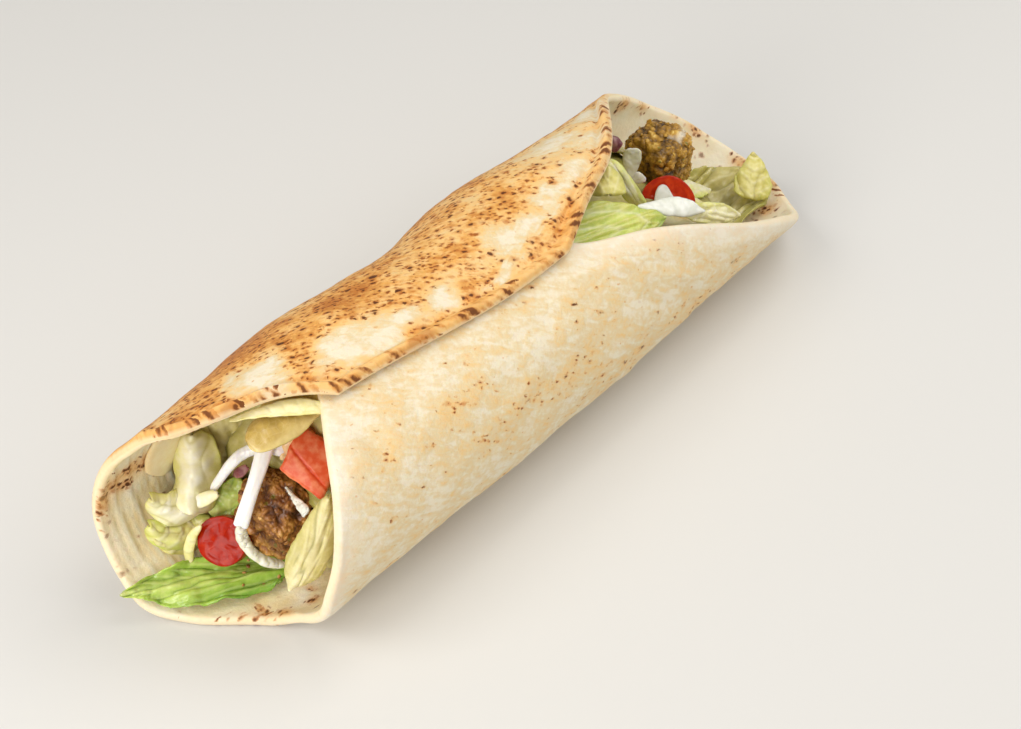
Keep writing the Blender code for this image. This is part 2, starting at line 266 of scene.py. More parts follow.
def rollPoint(x, angle, depth=0.0):
    x, angle = np.asarray(x, float), np.asarray(angle, float)
    dip, dipEnd, dipBlend = roll["underlap"]
    rise, riseStart, riseBlend = roll["overlap"]
    radius = roll["radius"] - depth - dip * ease((dipEnd - angle) / dipBlend)
    radius = radius + rise * ease((angle - riseStart) / riseBlend)
    for middle, halfLength, facing, spread, height in roll["swells"]:
        radius = radius + height * bell((x - middle) / halfLength) * bell((angle - facing) / spread)
    start, run, lift, drift = roll["scoop"]
    leave = np.maximum((x - start) / run, 0) ** 2
    turn = np.radians(angle)
    over = roll["axisHeight"] - radius * np.sin(turn)
    floor = (over + np.sqrt(over**2 + roll["settle"] ** 2)) / 2      # settles softly on the ground
    return np.stack([x + 0 * radius, -radius * np.cos(turn) - drift * leave, floor + lift * leave], -1)


# Flatbread

bread = {
    "rows": 204, "columns": 230,
    "thickness": 0.0026, "rim": 0.0035, "flapRim": 0.0024, "rimReach": 0.005, "rimRound": 0.0016,
    # Distances from the rim at which the grid has its first rows
    "edgeSteps": (0, .00012, .0004, .0008, .0013, .0018, .0026, .0035, .0044),
    # Height, distance from the rim and half width of the flap's puffed lip and of the groove behind it
    "lip": (0.00165, 0.0023, 0.0014), "groove": (0.00130, 0.0048, 0.0012),
    "undulation": (0.00045, 0.016), "blister": (0.00020, 0.0045), "liningWave": (0.0003, 0.009),
    # How far the patches' borders wander along x, round the roll in degrees, and in lumps of what size
    "border": (0.0045, 6, 0.009),
    # How toasted it is everywhere, and in bands: share, first degree, run, last degree, run
    "plain": 0.13, "toasted": ((0.50, 205, 22, 400, 20), (0.34, 130, 50, 235, 20), (0.07, 5, 40, 110, 40)),
    "darker": 0.34, "tanAndShadeShare": 0.16, "mottled": 0.16, "missed": 0.93, "farLoss": 0.34,
    # The browned rim, as share, degrees, half width, and the run from the middle towards its mouth
    "rimBrowned": ((0.85, 72, 18, -0.04), (0.80, 186, 13, -0.04), (0.25, 165, 30, None),
                   (0.55, 72, 14, 0.04)),
    # Pale places that the griddle missed, as x, degrees, half length, half width in degrees
    "pale": ((-.078, 262, .0085, 13), (-.052, 275, .0115, 9), (-.040, 278, .0085, 7), (-.022, 284, .0070, 6),
             (.011, 279, .0090, 7), (.021, 278, .0090, 6), (.039, 273, .0130, 7), (.054, 247, .0100, 9),
             (.078, 246, .0090, 10), (.000, 289, .0090, 3), (.060, 262, .0080, 6)),
    # Dark places, the same way
    "dark": ((-.102, 252, .0120, 8), (-.092, 264, .0080, 5), (-.070, 236, .0160, 9),
             (-.062, 255, .0080, 8), (-.040, 250, .0140, 9), (-.036, 291, .0090, 4),
             (-.008, 268, .0090, 6), (.055, 285, .0080, 5), (.022, 262, .0130, 5), (.033, 290, .0070, 4),
             (-.0915, -20, .0022, 5), (-.0940, -7, .0030, 7), (-.0985, -9, .0022, 4), (-.0975, 2, .0022, 5),
             (-.1030, 3, .0020, 5)),
    # Tanned places on the pale panel; the two at x -0.066 and -0.045 are painted shade round the dent near x
    # -0.066
    "tanAndShade": ((-.066, -45, .0090, 8), (-.045, -36, .0130, 8), (.052, -40, .0160, 7), (-.010, -15, .0300, 9),
            (.070, 14, .0150, 12), (.028, 12, .0200, 9)),
    # Wrinkles, as x, degrees, half length, half width in metres, turn from the roll's axis, height
    "wrinkles": ((.030, -44, .018, .0022, 20, .0008), (.055, -18, .020, .0026, 36, .0009),
                 (.066, 12, .013, .0020, 62, -.0010), (.048, -8, .015, .0022, 44, -.0007),
                 (-.066, -46, .008, .0040, 70, -.0011), (.006, -40, .022, .0030, 12, -.0005),
                 (-.020, -20, .026, .0035, -12, .0005), (.092, -4, .014, .0025, 20, .0006),
                 (.030, 20, .020, .0030, 50, .0006), (.010, 282, .020, .0022, -4, -.0007),
                 (-.048, 258, .014, .0050, 25, .0007), (.046, 266, .018, .0040, 18, .0007),
                 (.048, 280, .009, .0012, 60, .0005), (.056, 274, .010, .0012, 52, .0005),
                 (.064, 266, .010, .0012, 48, .0005), (.072, 256, .010, .0014, 44, .0005)),
    # Soft ridges on the inside of the near mouth, as x and height
    "ridges": ((-.1190, .0004), (-.1158, .0008), (-.1127, .0005), (-.1102, .0009), (-.1070, .0007),
               (-.1043, .0008), (-.1012, .0009), (-.0985, .0006), (-.0952, .0009), (-.0915, .0008),
               (-.0870, .0006)),
    "ridgeWidth": 0.0008,
    # Toasted places inside the mouths, as x, degrees, half length, half width in degrees
    "scorched": ((-.1195, 181, .0024, 6), (-.1150, 188, .0036, 7), (-.1090, 190, .0050, 6),
                 (-.1025, 188, .0050, 6), (-.1120, 182, .0034, 4), (.1150, 189, .0034, 5),
                 (.127, 176, .0026, 4), (.1455, 141, .0032, 7), (.141, 156, .0026, 4),
                 (.149, 100, .0024, 9), (.1370, 67, .0036, 6), (.1480, 80, .0022, 5),
                 (-.1010, 80, .0012, 5), (-.0975, 66, .0016, 5), (-.0900, 58, .0018, 4),
                 (-.086, 69, .0012, 4)),
}


def edgeWalk():                                # the bread's rim on the unrolled sheet, and its length
    arc = math.radians(1) * roll["radius"]
    angles = np.linspace(roll["firstAngle"], roll["lastAngle"], 900)
    near, far = through(roll["nearEdge"], angles), through(roll["farEdge"], angles)
    seam = np.linspace(near[-1], far[-1], 200)[1:-1]
    start = np.linspace(far[0], near[0], 160)[1:-1]
    loop = np.concatenate([
        np.stack([near, angles * arc], -1),
        np.stack([seam, np.full(len(seam), angles[-1] * arc)], -1),
        np.stack([far, angles * arc], -1)[::-1],
        np.stack([start, np.full(len(start), angles[0] * arc)], -1)])
    return loop, np.concatenate([[0], np.cumsum(np.linalg.norm(np.diff(loop, axis=0), axis=1))])


def edgeDistance(flat):                        # how far each point lies from the rim, and where along it
    loop, length = edgeWalk()
    tree = kdtree.KDTree(len(loop))
    for k, point in enumerate(loop):
        tree.insert((*point, 0), k)
    tree.balance()
    nearest = np.array([tree.find((*point, 0))[1] for point in flat.reshape(-1, 2)])
    deep = np.full(len(nearest), 1.0)
    for step in (-1, 1):
        a, b = loop[nearest], loop[(nearest + step) % len(loop)]
        run = b - a
        t = np.clip(((flat.reshape(-1, 2) - a) * run).sum(-1) / (run**2).sum(-1), 0, 1)
        deep = np.minimum(deep, np.linalg.norm(flat.reshape(-1, 2) - a - run * t[:, None], axis=-1))
    return deep.reshape(flat.shape[:-1]), length[nearest].reshape(flat.shape[:-1])


def breadGrid():
    steps = np.array(bread["edgeSteps"])
    arc = math.radians(1) * roll["radius"]
    inner = bread["rows"] - 2 * len(steps)
    first, last = roll["firstAngle"], roll["lastAngle"]
    middle = np.linspace(first + steps[-1] / arc, last - steps[-1] / arc, inner + 2)[1:-1]
    nominal = np.concatenate([first + steps / arc, middle, (last - steps / arc)[::-1]])
    near, far = through(roll["nearEdge"], nominal), through(roll["farEdge"], nominal)
    share = np.linspace(0, 1, bread["columns"] - 2 * len(steps) + 2)[1:-1]
    rows = []
    for a, b in zip(near, far):
        low, high = a + steps, b - steps
        rows.append(np.concatenate([low, low[-1] + share * (high[-1] - low[-1]), high[::-1]]))
    x = np.array(rows)
    nominal = np.repeat(nominal[:, None], x.shape[1], 1)
    turn, turnStart, endX, run = roll["skew"]
    back = turn * ease((nominal - turnStart) / (last - turnStart)) * ease((endX - x) / run)
    return x, nominal, nominal - back


def patches(x, angle, spots):                  # how strongly each point lies in one of the patches
    total = np.zeros(x.shape)
    for middle, facing, halfLength, spread in spots:
        total = np.maximum(total, bell((x - middle) / halfLength) * bell((angle - facing) / spread))
    return total


def wrinkleHeight(x, angle):
    arc = math.radians(1) * roll["radius"]
    total = np.zeros(x.shape)
    for middle, facing, halfLength, halfWidth, turn, height in bread["wrinkles"]:
        along, across = x - middle, (angle - facing) * arc
        c, s = math.cos(math.radians(turn)), math.sin(math.radians(turn))
        lengthwise, sideways = along * c + across * s, across * c - along * s
        total += height * bell(lengthwise / halfLength) * bell(sideways / halfWidth)
    return total


def makeBread(material):
    x, nominal, angle = breadGrid()
    arc = math.radians(1) * roll["radius"]
    flat = np.stack([x, nominal * arc], -1)
    deep, along = edgeDistance(flat)
    deep[0], deep[-1], deep[:, 0], deep[:, -1] = 0, 0, 0, 0
    skin = rollPoint(x, angle)
    outward = gridNormals(skin)
    sheet = np.concatenate([flat, np.zeros((*x.shape, 1))], -1)
    reachAlong, reachRound, borderSize = bread["border"]
    folded = x + reachAlong * noiseAt(sheet, borderSize, 8, 3)
    turned = angle + reachRound * noiseAt(sheet, borderSize, 9, 3)

    flap = ease((angle - 225) / 20)
    rim = bread["rim"] + (bread["flapRim"] - bread["rim"]) * flap
    full = bread["thickness"] + (rim - bread["thickness"]) * bell(deep / bread["rimReach"])
    wall = full * np.sqrt(1 - (1 - np.clip(deep / bread["rimRound"], 0, 1)) ** 2)
    mid = skin - outward * full[..., None] / 2

    lipHeight, lipAt, lipWidth = bread["lip"]
    grooveDepth, grooveAt, grooveWidth = bread["groove"]
    wander = 0.0007 * noiseAt(sheet, 0.012, 7)
    lip = lipHeight * bell((deep - lipAt) / lipWidth) * (1 + 0.5 * noiseAt(sheet, 0.008, 12))
    relief = flap * (lip - grooveDepth * bell((deep - grooveAt - wander) / grooveWidth))
    waveHeight, waveSize = bread["undulation"]
    blisterHeight, blisterSize = bread["blister"]
    held = ease(deep / 0.004)
    relief += held * waveHeight * noiseAt(sheet, waveSize, 1, 2)
    relief += held * blisterHeight * np.maximum(noiseAt(sheet, blisterSize, 2), 0)
    relief += ease(deep / 0.006) * wrinkleHeight(x, angle)
    relief += flap * bell(deep / 0.004) * 0.0003 * noiseAt(sheet, 0.004, 5)
    outer = mid + outward * (wall / 2 + relief * ease(wall / full))[..., None]

    ridge = np.zeros(x.shape)
    for at, height in bread["ridges"]:
        sway = 0.0022 * noiseAt(np.stack([nominal * arc, 0 * x, 0 * x + at], -1), 0.018, 3)
        ridge += height * bell((x - at - sway) / bread["ridgeWidth"])
    ridge *= ease((angle - 95) / 20) * ease((225 - angle) / 20) * ease(deep / 0.004)
    liningHeight, liningSize = bread["liningWave"]
    lining = ridge + held * liningHeight * noiseAt(sheet, liningSize, 4, 2)
    inner = mid - outward * (wall / 2 + lining * ease(wall / full))[..., None]

    toast = np.full(x.shape, bread["plain"])
    for share, start, run, end, fade in bread["toasted"]:
        toast += share * ease((angle - start) / run) * ease((end - angle) / fade)
    toast *= 1 - bread["farLoss"] * ease((x - 0.010) / 0.04) * flap
    toast += bread["darker"] * patches(folded, turned, bread["dark"])
    # The tan patches include painted shade round a dent
    toast += bread["tanAndShadeShare"] * patches(folded, turned, bread["tanAndShade"])
    toast += bread["mottled"] * noiseAt(sheet, 0.024, 6, 2) * (0.3 + 0.7 * flap)
    missed = patches(folded, turned, bread["pale"]) * (1 + 0.35 * noiseAt(sheet, 0.005, 14, 2))
    toast = np.clip(toast * (1 - bread["missed"] * ease(1.15 * missed)), 0, 1)

    points, faces, join = closedSheet(outer, inner)
    rimToast = rimBrowning(x, angle)
    # Painted highlight along the rim of the panel, and painted light inside the far mouth
    bright = bell(deep / 0.006) * ease((angle + 80) / 20) * ease((215 - angle) / 30)
    brightInside = np.maximum(bright * 0.6, 0.8 * ease((x - 0.07) / 0.03))
    scorch = np.clip(1.3 * patches(x, angle, bread["scorched"]), 0, 1)
    values = {
        "toast": join(toast, toast * 0.1), "inside": join(0 * x, 0 * x + 1),
        "rimDeep": join(deep, deep), "rimAlong": join(along, along), "rimToast": join(rimToast, rimToast),
        "bright": join(bright, brightInside), "ridge": join(0 * x, ridge / 0.0009),
        "scorch": join(0 * x, scorch),
    }
    mesh = newMesh("bread", points, faces, material, values, {"sheet": join(flat, flat)})
    return settle(addPiece("bread", mesh), "flatbread", "flatbread")


def rimBrowning(x, angle):                     # the rim is browned most along the flap
    total = ease((angle - 228) / 14) + 0.08
    for share, facing, spread, run in bread["rimBrowned"]:
        total = total + share * bell((angle - facing) / spread) * (ease(x / run) if run else 1)
    return np.clip(total, 0, 1)


# Toasted flatbread: wheat dough baked on a griddle. It is matt and cream, golden where it was
# nearest the heat, with dark scorch marks under 1 mm wide that each have an orange-brown edge.
toastedFinish = {
    "shader": {"Roughness": 0.60, "IOR": 1.45, "Specular IOR Level": 0.35,
               "Subsurface Weight": 0.15, "Subsurface Radius": (1.0, 0.55, 0.25), "Subsurface Scale": 0.0015},
    "crust": ((0.0, "#eadfc5"), (0.16, "#e4d0a6"), (0.34, "#e8c78e"),
              (0.54, "#efc37e"), (0.76, "#e5aa5a"), (1.0, "#bf7b38")),
    "lining": ((0.28, "#f2d898"), (0.5, "#fae7b9"), (0.72, "#fdf3da")),
    # Patterns per metre, and the golden streaks of 6 by 2 mm that lie slantwise over the roll
    "broad": 95.0, "fine": 520.0, "bend": 420.0, "bendBy": 0.0022,
    "slant": math.radians(38), "streak": (0.0066, 0.0021, 1.0), "markShape": (1.5, 0.9, 1.0),
    # Marks per metre, chance from toast, least and greatest radius as a share of the spacing, colours
    "marks": ((700.0, 1.15, 0.18, 0.36, "#c6792f", "#84461a"),
              (430.0, 1.10, 0.13, 0.30, "#bb6c29", "#53290f"),
              (215.0, 0.42, 0.10, 0.20, "#b86d2b", "#4b240e")),
    # Specks on the pale panel, one every 5 mm or so: chance, size and colour
    "specks": ((0.62, 0.44, "#d79b55"), (0.90, 0.95, "#b5722f")),
    # Each ring is its outer and inner edge as a share of the mark's radius, strength and colour
    "liningRings": ((1.9, 0.7, 0.75, "#b8682a"), (1.1, 0.6, 0.92, "#4a2410")),
    "rimRings": ((2.0, 0.7, 0.80, "#c97e33"), (1.15, 0.6, 0.88, "#66320f")),
}


def makeBreadMaterial():
    look = toastedFinish
    material, tree, shader = newMaterial("toastedFlatbread", look["shader"])
    sheet = addNode(tree, "ShaderNodeUVMap", uv_map="sheet")
    toast, inside, deep, along, rimToast, bright, ridge, scorch = (
        addNode(tree, "ShaderNodeAttribute", out="Fac", attribute_name=key) for key in
        ("toast", "inside", "rimDeep", "rimAlong", "rimToast", "bright", "ridge", "scorch"))
    broad = addNode(tree, "ShaderNodeTexNoise", {"Vector": sheet, "Scale": look["broad"], "Detail": 4.0})
    fine = addNode(tree, "ShaderNodeTexNoise", {
        "Vector": sheet, "Scale": look["fine"], "Detail": 4.0, "Roughness": 0.6})
    bent = addNode(tree, "ShaderNodeTexNoise", {
        "Vector": sheet, "Scale": look["bend"], "Detail": 3.0}, "Color")
    push = addNode(tree, "ShaderNodeVectorMath", {0: bent, "Scale": look["bendBy"]}, operation="SCALE")
    warped = addNode(tree, "ShaderNodeVectorMath", {0: sheet, 1: push}, operation="ADD")
    slanted, leaning = (addNode(tree, "ShaderNodeMapping", {
        "Vector": vector, "Rotation": (0, 0, look["slant"]), "Scale": size}, vector_type="TEXTURE")
        for vector, size in ((sheet, look["streak"]), (warped, look["markShape"])))
    streak = addNode(tree, "ShaderNodeTexNoise", {
        "Vector": slanted, "Scale": 1.0, "Detail": 5.0, "Distortion": 0.6})

    level = mottled(tree, toast, ((broad, 0.17), (streak, 0.15), (fine, 0.12)), 0.27, 0.73)
    crust = addNode(tree, "ShaderNodeValToRGB", {0: level}, stops=look["crust"])
    clear = addNode(tree, "ShaderNodeMapRange", {"Value": deep, "From Min": 0.0038, "From Max": 0.0044})
    for perMetre, chance, least, most, edge, heart in look["marks"]:
        found, drawn, other = spotted(tree, leaning, perMetre)
        browned = addNode(tree, "ShaderNodeMapRange", {"Value": level, "From Min": 0.20, "From Max": 0.85,
                          "To Min": 0.015, "To Max": chance})
        spare = addNode(tree, "ShaderNodeMath", {0: browned, 1: drawn}, operation="SUBTRACT")
        shown = addNode(tree, "ShaderNodeMapRange", {"Value": spare, "From Max": 0.12})
        shown = addNode(tree, "ShaderNodeMath", {0: shown, 1: clear}, operation="MULTIPLY")
        radius = addNode(tree, "ShaderNodeMapRange", {"Value": other, "To Min": least, "To Max": most})
        rings = ((2.6, 0.9, 0.60, edge), (1.25, 0.70, 0.92, heart))
        crust = scorched(tree, crust, found, radius, shown, rings)
    found, *draws = spotted(tree, warped, 330.0)
    for drawn, (least, size, colour) in zip(draws, look["specks"]):
        radius = addNode(tree, "ShaderNodeMapRange", {
            "Value": drawn, "From Min": least, "To Max": size * (1 - least)})
        spare = addNode(tree, "ShaderNodeMath", {0: radius, 1: found}, operation="SUBTRACT")
        mark = addNode(tree, "ShaderNodeMapRange", {"Value": spare, "From Max": 0.07})
        crust = tinted(tree, crust, ((mark, 0.75, colour),))
    # Painted highlight near the rim of the outer face
    crust = tinted(tree, crust, ((bright, 0.55, "#f8f3e6"),))

    # The inner face is moist and cream, paler on its ridges, with a few scorched places, and painted light
    # near the rim and inside the far mouth
    lining = addNode(tree, "ShaderNodeValToRGB", {0: broad}, stops=look["lining"])
    lining = tinted(tree, lining, (
        (ridge, 0.75, "#fbf4e2"), (bright, 0.7, "#fbf3e0"), (scorch, 0.75, "#e6b067")))
    found, drawn, other = spotted(tree, warped, 470.0)
    spare = addNode(tree, "ShaderNodeMath", {0: scorch, 1: drawn}, operation="SUBTRACT")
    shown = addNode(tree, "ShaderNodeMapRange", {"Value": spare, "From Min": -0.08, "From Max": 0.06})
    radius = addNode(tree, "ShaderNodeMapRange", {"Value": other, "To Min": 0.20, "To Max": 0.50})
    lining = scorched(tree, lining, found, radius, shown, look["liningRings"])
    surface = addNode(tree, "ShaderNodeMix", {0: inside, 6: crust, 7: lining}, 2, data_type="RGBA")

    # The puffed rim is cream at its edge, with curved brown strokes across it
    slant = addNode(tree, "ShaderNodeMath", {0: deep, 1: 0.45}, operation="MULTIPLY")
    leant = addNode(tree, "ShaderNodeMath", {0: deep, 1: along}, operation="ADD")
    stroke = addNode(tree, "ShaderNodeCombineXYZ", {0: leant, 1: slant})
    stroke = addNode(tree, "ShaderNodeVectorMath", {0: stroke, 1: push}, operation="ADD")
    found, drawn, other = spotted(tree, stroke, 420.0)
    band = addNode(tree, "ShaderNodeMapRange", {"Value": deep, "From Min": 0.0044, "From Max": 0.0030})
    band = addNode(tree, "ShaderNodeMath", {0: band, 1: rimToast}, operation="MULTIPLY")
    edge = addNode(tree, "ShaderNodeMapRange", {"Value": deep, "From Min": 0.0009, "From Max": 0.0002})
    surface = tinted(tree, surface, ((band, 0.35, "#eec07a"), (edge, 0.6, "#f2e0ba")))
    shown = addNode(tree, "ShaderNodeMapRange", {"Value": drawn, "From Min": 0.22, "From Max": 0.24})
    fading = addNode(tree, "ShaderNodeMapRange", {"Value": deep, "From Min": 0.0001, "From Max": 0.0003})
    shown = addNode(tree, "ShaderNodeMath", {0: shown, 1: fading}, operation="MULTIPLY")
    radius = addNode(tree, "ShaderNodeMapRange", {"Value": other, "To Min": 0.26, "To Max": 0.56})
    radius = addNode(tree, "ShaderNodeMath", {0: radius, 1: band}, operation="MULTIPLY")
    # Where there is no band the radius stays above zero, because Blender takes a division by zero as 0
    radius = addNode(tree, "ShaderNodeMath", {0: radius, 1: 0.005}, operation="MAXIMUM")
    surface = scorched(tree, surface, found, radius, shown, look["rimRings"])
    tree.links.new(surface, shader.inputs["Base Color"])

    height = addNode(tree, "ShaderNodeMath", {0: broad, 1: fine}, operation="ADD")
    relief = addNode(tree, "ShaderNodeBump", {"Strength": 0.40, "Distance": 0.0008, "Height": height})
    tree.links.new(relief, shader.inputs["Normal"])
    return material


makeBread(makeBreadMaterial())


# Leaves and shreds: a sheet along a spine of points, with a left and right half width at each.
# A wall's spine is x, degrees round the roll and depth below the bread's face.

leafDefaults = {
    "counts": (110, 44), "facing": (-0.50, -0.47, 0.73), "on": "air", "thickness": 0.0007,
    "arch": 0.0, "folds": (0, 0.0), "frill": (0, 0.0), "crumple": (0.0010, 0.009), "ragged": 0.08,
    "pleats": (0.0, 0.004, 3.0),               # height, width and how many times longer they are
    "veins": (0.0040, 55.0, 0.00018),          # spacing, slant in degrees and height
    "tone": (0.15, 0.45), "fade": (0.0, 0.0), "seed": 1.0, "curl": 0.0,
    "ends": 0.12,                              # share of the length over which each end is rounded
    "least": 0.0003, "jagSize": 0.0045, "swaySize": 0.02, "veinWidth": 0.14,
}


def leafGrid(leaf):                            # the leaf's points, flat map, half thickness and values
    columns, rows = leaf["counts"]
    seed = leaf["seed"]
    t, across = np.linspace(0, 1, columns), np.linspace(-1, 1, rows)[:, None]
    arc = math.radians(1) * roll["radius"]
    spine, facing = np.array(leaf["spine"], float), np.array(leaf["facing"], float)
    if leaf["on"] == "wall":                   # the spine is x, degrees and depth below the bread's face
        spine, facing = spine * (1, arc, 1), np.array((0.0, 0.0, 1.0))
    if leaf["on"] in tomatoes:                 # the spine is on the slice's own face
        disc = tomatoes[leaf["on"]]
        turn = sliceTurn(disc["tilt"])
        spine = (spine + (0, 0, disc["thickness"] / 2)) @ turn.T + disc["centre"]
        facing = turn[:, 2]
    middle = curveThrough(spine, t)
    ahead = unit(np.gradient(middle, axis=0))
    side = unit(np.cross(ahead, facing))
    out = np.cross(side, ahead)
    length = np.linalg.norm(np.diff(middle, axis=0), axis=1).sum()
    left, right = curveThrough([(w, w) if np.isscalar(w) else w for w in leaf["widths"]], t).T
    along = t[None, :] + 0 * across
    blunt = np.clip(np.minimum(along, 1 - along) / max(leaf["ends"], 1e-3), 0, 1)
    reach = np.maximum(np.where(across < 0, left, right) * np.sqrt(1 - (1 - blunt) ** 2), leaf["least"])
    rim = np.stack([along * length, np.sign(across) * 0.05 + 0 * along, 0 * along], -1)
    jag = 1 + leaf["ragged"] * noiseAt(rim, leaf["jagSize"], seed, 3) * np.abs(across) ** 3
    width = across * reach * jag
    flat = np.stack([along * length, width, 0 * along], -1)

    # Its relief: folds along it, a frill at its edge, crumples, pleats and veins
    foldCount, foldHeight = leaf["folds"]
    frillCount, frillHeight = leaf["frill"]
    crumpleHeight, crumpleSize = leaf["crumple"]
    pleatHeight, pleatWidth, pleatRun = leaf["pleats"]
    sway = noiseAt(flat, leaf["swaySize"], seed + 1)
    fold = np.sin(math.pi * foldCount * across + 2.0 * sway + seed)
    wave = np.sin(2 * math.pi * frillCount * along + 1.7 * np.sign(across) + 3.0 * sway)
    ridged = 0.5 - np.abs(noiseAt(flat, crumpleSize, seed + 2))
    pleat = np.abs(noiseAt(flat / (pleatRun, 1, 1) + (0, 0.2 * pleatWidth, 0), pleatWidth, seed + 4, 2))
    lift = leaf["arch"] * (1 - across**2) + leaf["curl"] * along**3 + foldHeight * fold
    lift = lift + frillHeight * np.abs(across) ** 2.5 * wave + pleatHeight * np.minimum(pleat * 2.2, 1)
    lift = lift + crumpleHeight * (ridged + 0.5 * noiseAt(flat, crumpleSize / 2.6, seed + 3, 2))
    spacing, slant, veinHeight = leaf["veins"]
    slant = math.radians(slant)
    phase = (np.abs(width) * math.cos(slant) + along * length * math.sin(slant)) / spacing + 0.6 * sway
    vein = bell(((phase % 1.0) - 0.5) / leaf["veinWidth"]) * ease((1 - np.abs(across)) / 0.3)
    lift = lift + veinHeight * vein

    sheet = middle + side * width[..., None] + out * lift[..., None]
    if leaf["on"] == "wall":
        sheet = rollPoint(sheet[..., 0], sheet[..., 1] / arc, sheet[..., 2])
    rounding = np.minimum((1 - np.abs(across)) * reach, np.minimum(along, 1 - along) * length)
    wall = leaf["thickness"] * np.sqrt(1 - (1 - np.clip(rounding / leaf["thickness"], 0, 1)) ** 2)
    # Its colour runs from rib to edge, with painted shade in the hollows: crumples, fold troughs and pleat
    # creases
    base, edge = leaf["tone"]
    start, end = leaf["fade"]
    tone = base + edge * across**2 + 0.25 * sway + start * (1 - along) ** 2 + end * along**2
    hollow = 0.6 * np.clip(0.30 - ridged, 0, 1) + 0.5 * np.clip(-fold, 0, 1) ** 2 * (foldHeight > 0)
    hollow = np.clip(hollow + (pleatHeight > 0) * bell(pleat / 0.10), 0, 1)
    return sheet, flat[..., :2], wall / 2, {"tone": tone, "vein": vein, "hollow": hollow}


def makeLeaf(name, leaf, material, slot, *nodes):
    sheet, flat, half, grids = leafGrid({**leafDefaults, **leaf})
    outward = gridNormals(sheet) * half[..., None]
    points, faces, join = closedSheet(sheet + outward, sheet - outward)
    values = {key: join(grid, grid) for key, grid in grids.items()}
    mesh = newMesh(name, points, faces, material, values, {"leaf": join(flat, flat)})
    return settle(addPiece(name, mesh), slot, *nodes)


# Lettuce: crisp, moist and a little see-through. It is pale by the rib and green at the edge, with
# a fine net of raised veins 2 to 3 mm apart. The stops run from the rib's colour to the edge's.
# Each finish's shade is the colour of the painted shade in its hollows
leafFinishes = {
    "paleLettuce": {"stops": ((0.0, "#fbf8e6"), (0.28, "#f6f0c2"), (0.52, "#eae795"), (0.75, "#cdd76a"),
                              (1.0, "#a3bd4c")), "shade": "#c2b85e", "rough": 0.32},
    "oliveLettuce": {"stops": ((0.0, "#ece2b0"), (0.30, "#d6c97c"), (0.60, "#b7aa52"), (1.0, "#8c8c38")),
                     "shade": "#8c7b34", "rough": 0.34},
    "greenLettuce": {"stops": ((0.0, "#dfe79a"), (0.28, "#c3d76c"), (0.55, "#a3c54a"), (0.78, "#83b03c"),
                               (1.0, "#629a2c")), "shade": "#6b9632", "rough": 0.26},
    "yellowLettuce": {"stops": ((0.0, "#f8f2cd"), (0.32, "#efe5a0"), (0.60, "#dcd278"), (1.0, "#b9b94e")),
                      "shade": "#a99b48", "rough": 0.32},
    "bedLettuce": {"stops": ((0.0, "#eee6ba"), (0.30, "#d9ce8c"), (0.60, "#bfb565"), (1.0, "#9a9a42")),
                   "shade": "#8a8336", "rough": 0.30},
    "translucentLettuce": {"stops": ((0.0, "#efe2b4"), (0.40, "#d9c27e"), (0.75, "#bda056"),
                                     (1.0, "#a0833c")),
                           "shade": "#a98f48", "rough": 0.26},
    "whiteCabbage": {"stops": ((0.0, "#fbfbf8"), (0.5, "#f4f4ea"), (1.0, "#e3e4c6")), "shade": "#dcdccb",
                     "rough": 0.28},
    "clearOnion": {"stops": ((0.0, "#eceadb"), (0.5, "#dcdac4"), (1.0, "#c3c2a0")), "shade": "#b9b592",
                   "rough": 0.22},
    "redOnion": {"stops": ((0.0, "#c9a596"), (0.5, "#8d4d53"), (1.0, "#63252f")), "shade": "#572029",
                 "rough": 0.26},
    # The bread's lining in painted shade: darker and tanner than the lining itself
    "shadedBreadFold": {"stops": ((0.0, "#fbf0cf"), (0.5, "#f3dba6"), (1.0, "#e2b878")), "shade": "#c2985a",
                  "rough": 0.55},
    "peachPeel": {"stops": ((0.0, "#f2d8a8"), (0.5, "#e9bd85"), (1.0, "#d99b5e")), "shade": "#c98d55",
                  "rough": 0.30},
}


def makeLeafMaterial(name, finish):
    material, tree, shader = newMaterial(name, {
        "Roughness": finish["rough"], "IOR": 1.40, "Specular IOR Level": 0.5,
        "Subsurface Weight": 0.35, "Subsurface Radius": (0.9, 1.0, 0.35), "Subsurface Scale": 0.0015,
        "Coat Weight": 0.25, "Coat Roughness": 0.15})
    tone, vein, hollow = (addNode(tree, "ShaderNodeAttribute", out="Fac", attribute_name=key)
                          for key in ("tone", "vein", "hollow"))
    flat = addNode(tree, "ShaderNodeUVMap", uv_map="leaf")
    grain = addNode(tree, "ShaderNodeTexNoise", {
        "Vector": flat, "Scale": 320.0, "Detail": 5.0, "Roughness": 0.6})
    tone = mottled(tree, tone, ((grain, 0.15),))
    colour = addNode(tree, "ShaderNodeValToRGB", {0: tone}, stops=finish["stops"])
    # Painted shade: the hollows are darkened towards the finish's shade colour
    colour = tinted(tree, colour, ((hollow, 0.55, finish["shade"]),))
    net = addNode(tree, "ShaderNodeTexVoronoi", {"Vector": flat, "Scale": 420.0}, feature="DISTANCE_TO_EDGE")
    net = addNode(tree, "ShaderNodeMapRange", {
        "Value": net, "From Min": 0.07, "From Max": 0.0, "To Max": 0.10})
    veined = addNode(tree, "ShaderNodeMath", {0: vein, 1: 0.30}, operation="MULTIPLY")
    veined = addNode(tree, "ShaderNodeMath", {0: veined, 1: net}, operation="MAXIMUM")
    rib = linearColour(finish["stops"][0][1])
    colour = addNode(tree, "ShaderNodeMix", {0: veined, 6: colour, 7: rib}, 2, data_type="RGBA")
    tree.links.new(colour, shader.inputs["Base Color"])
    relief = addNode(tree, "ShaderNodeBump", {"Strength": 0.30, "Distance": 0.0004, "Height": grain})
    tree.links.new(relief, shader.inputs["Normal"])
    return material


leafMaterials = {name: makeLeafMaterial(name, finish) for name, finish in leafFinishes.items()}


# Tomato: red glossy skin, wet flesh, and pockets of gel round a paler heart

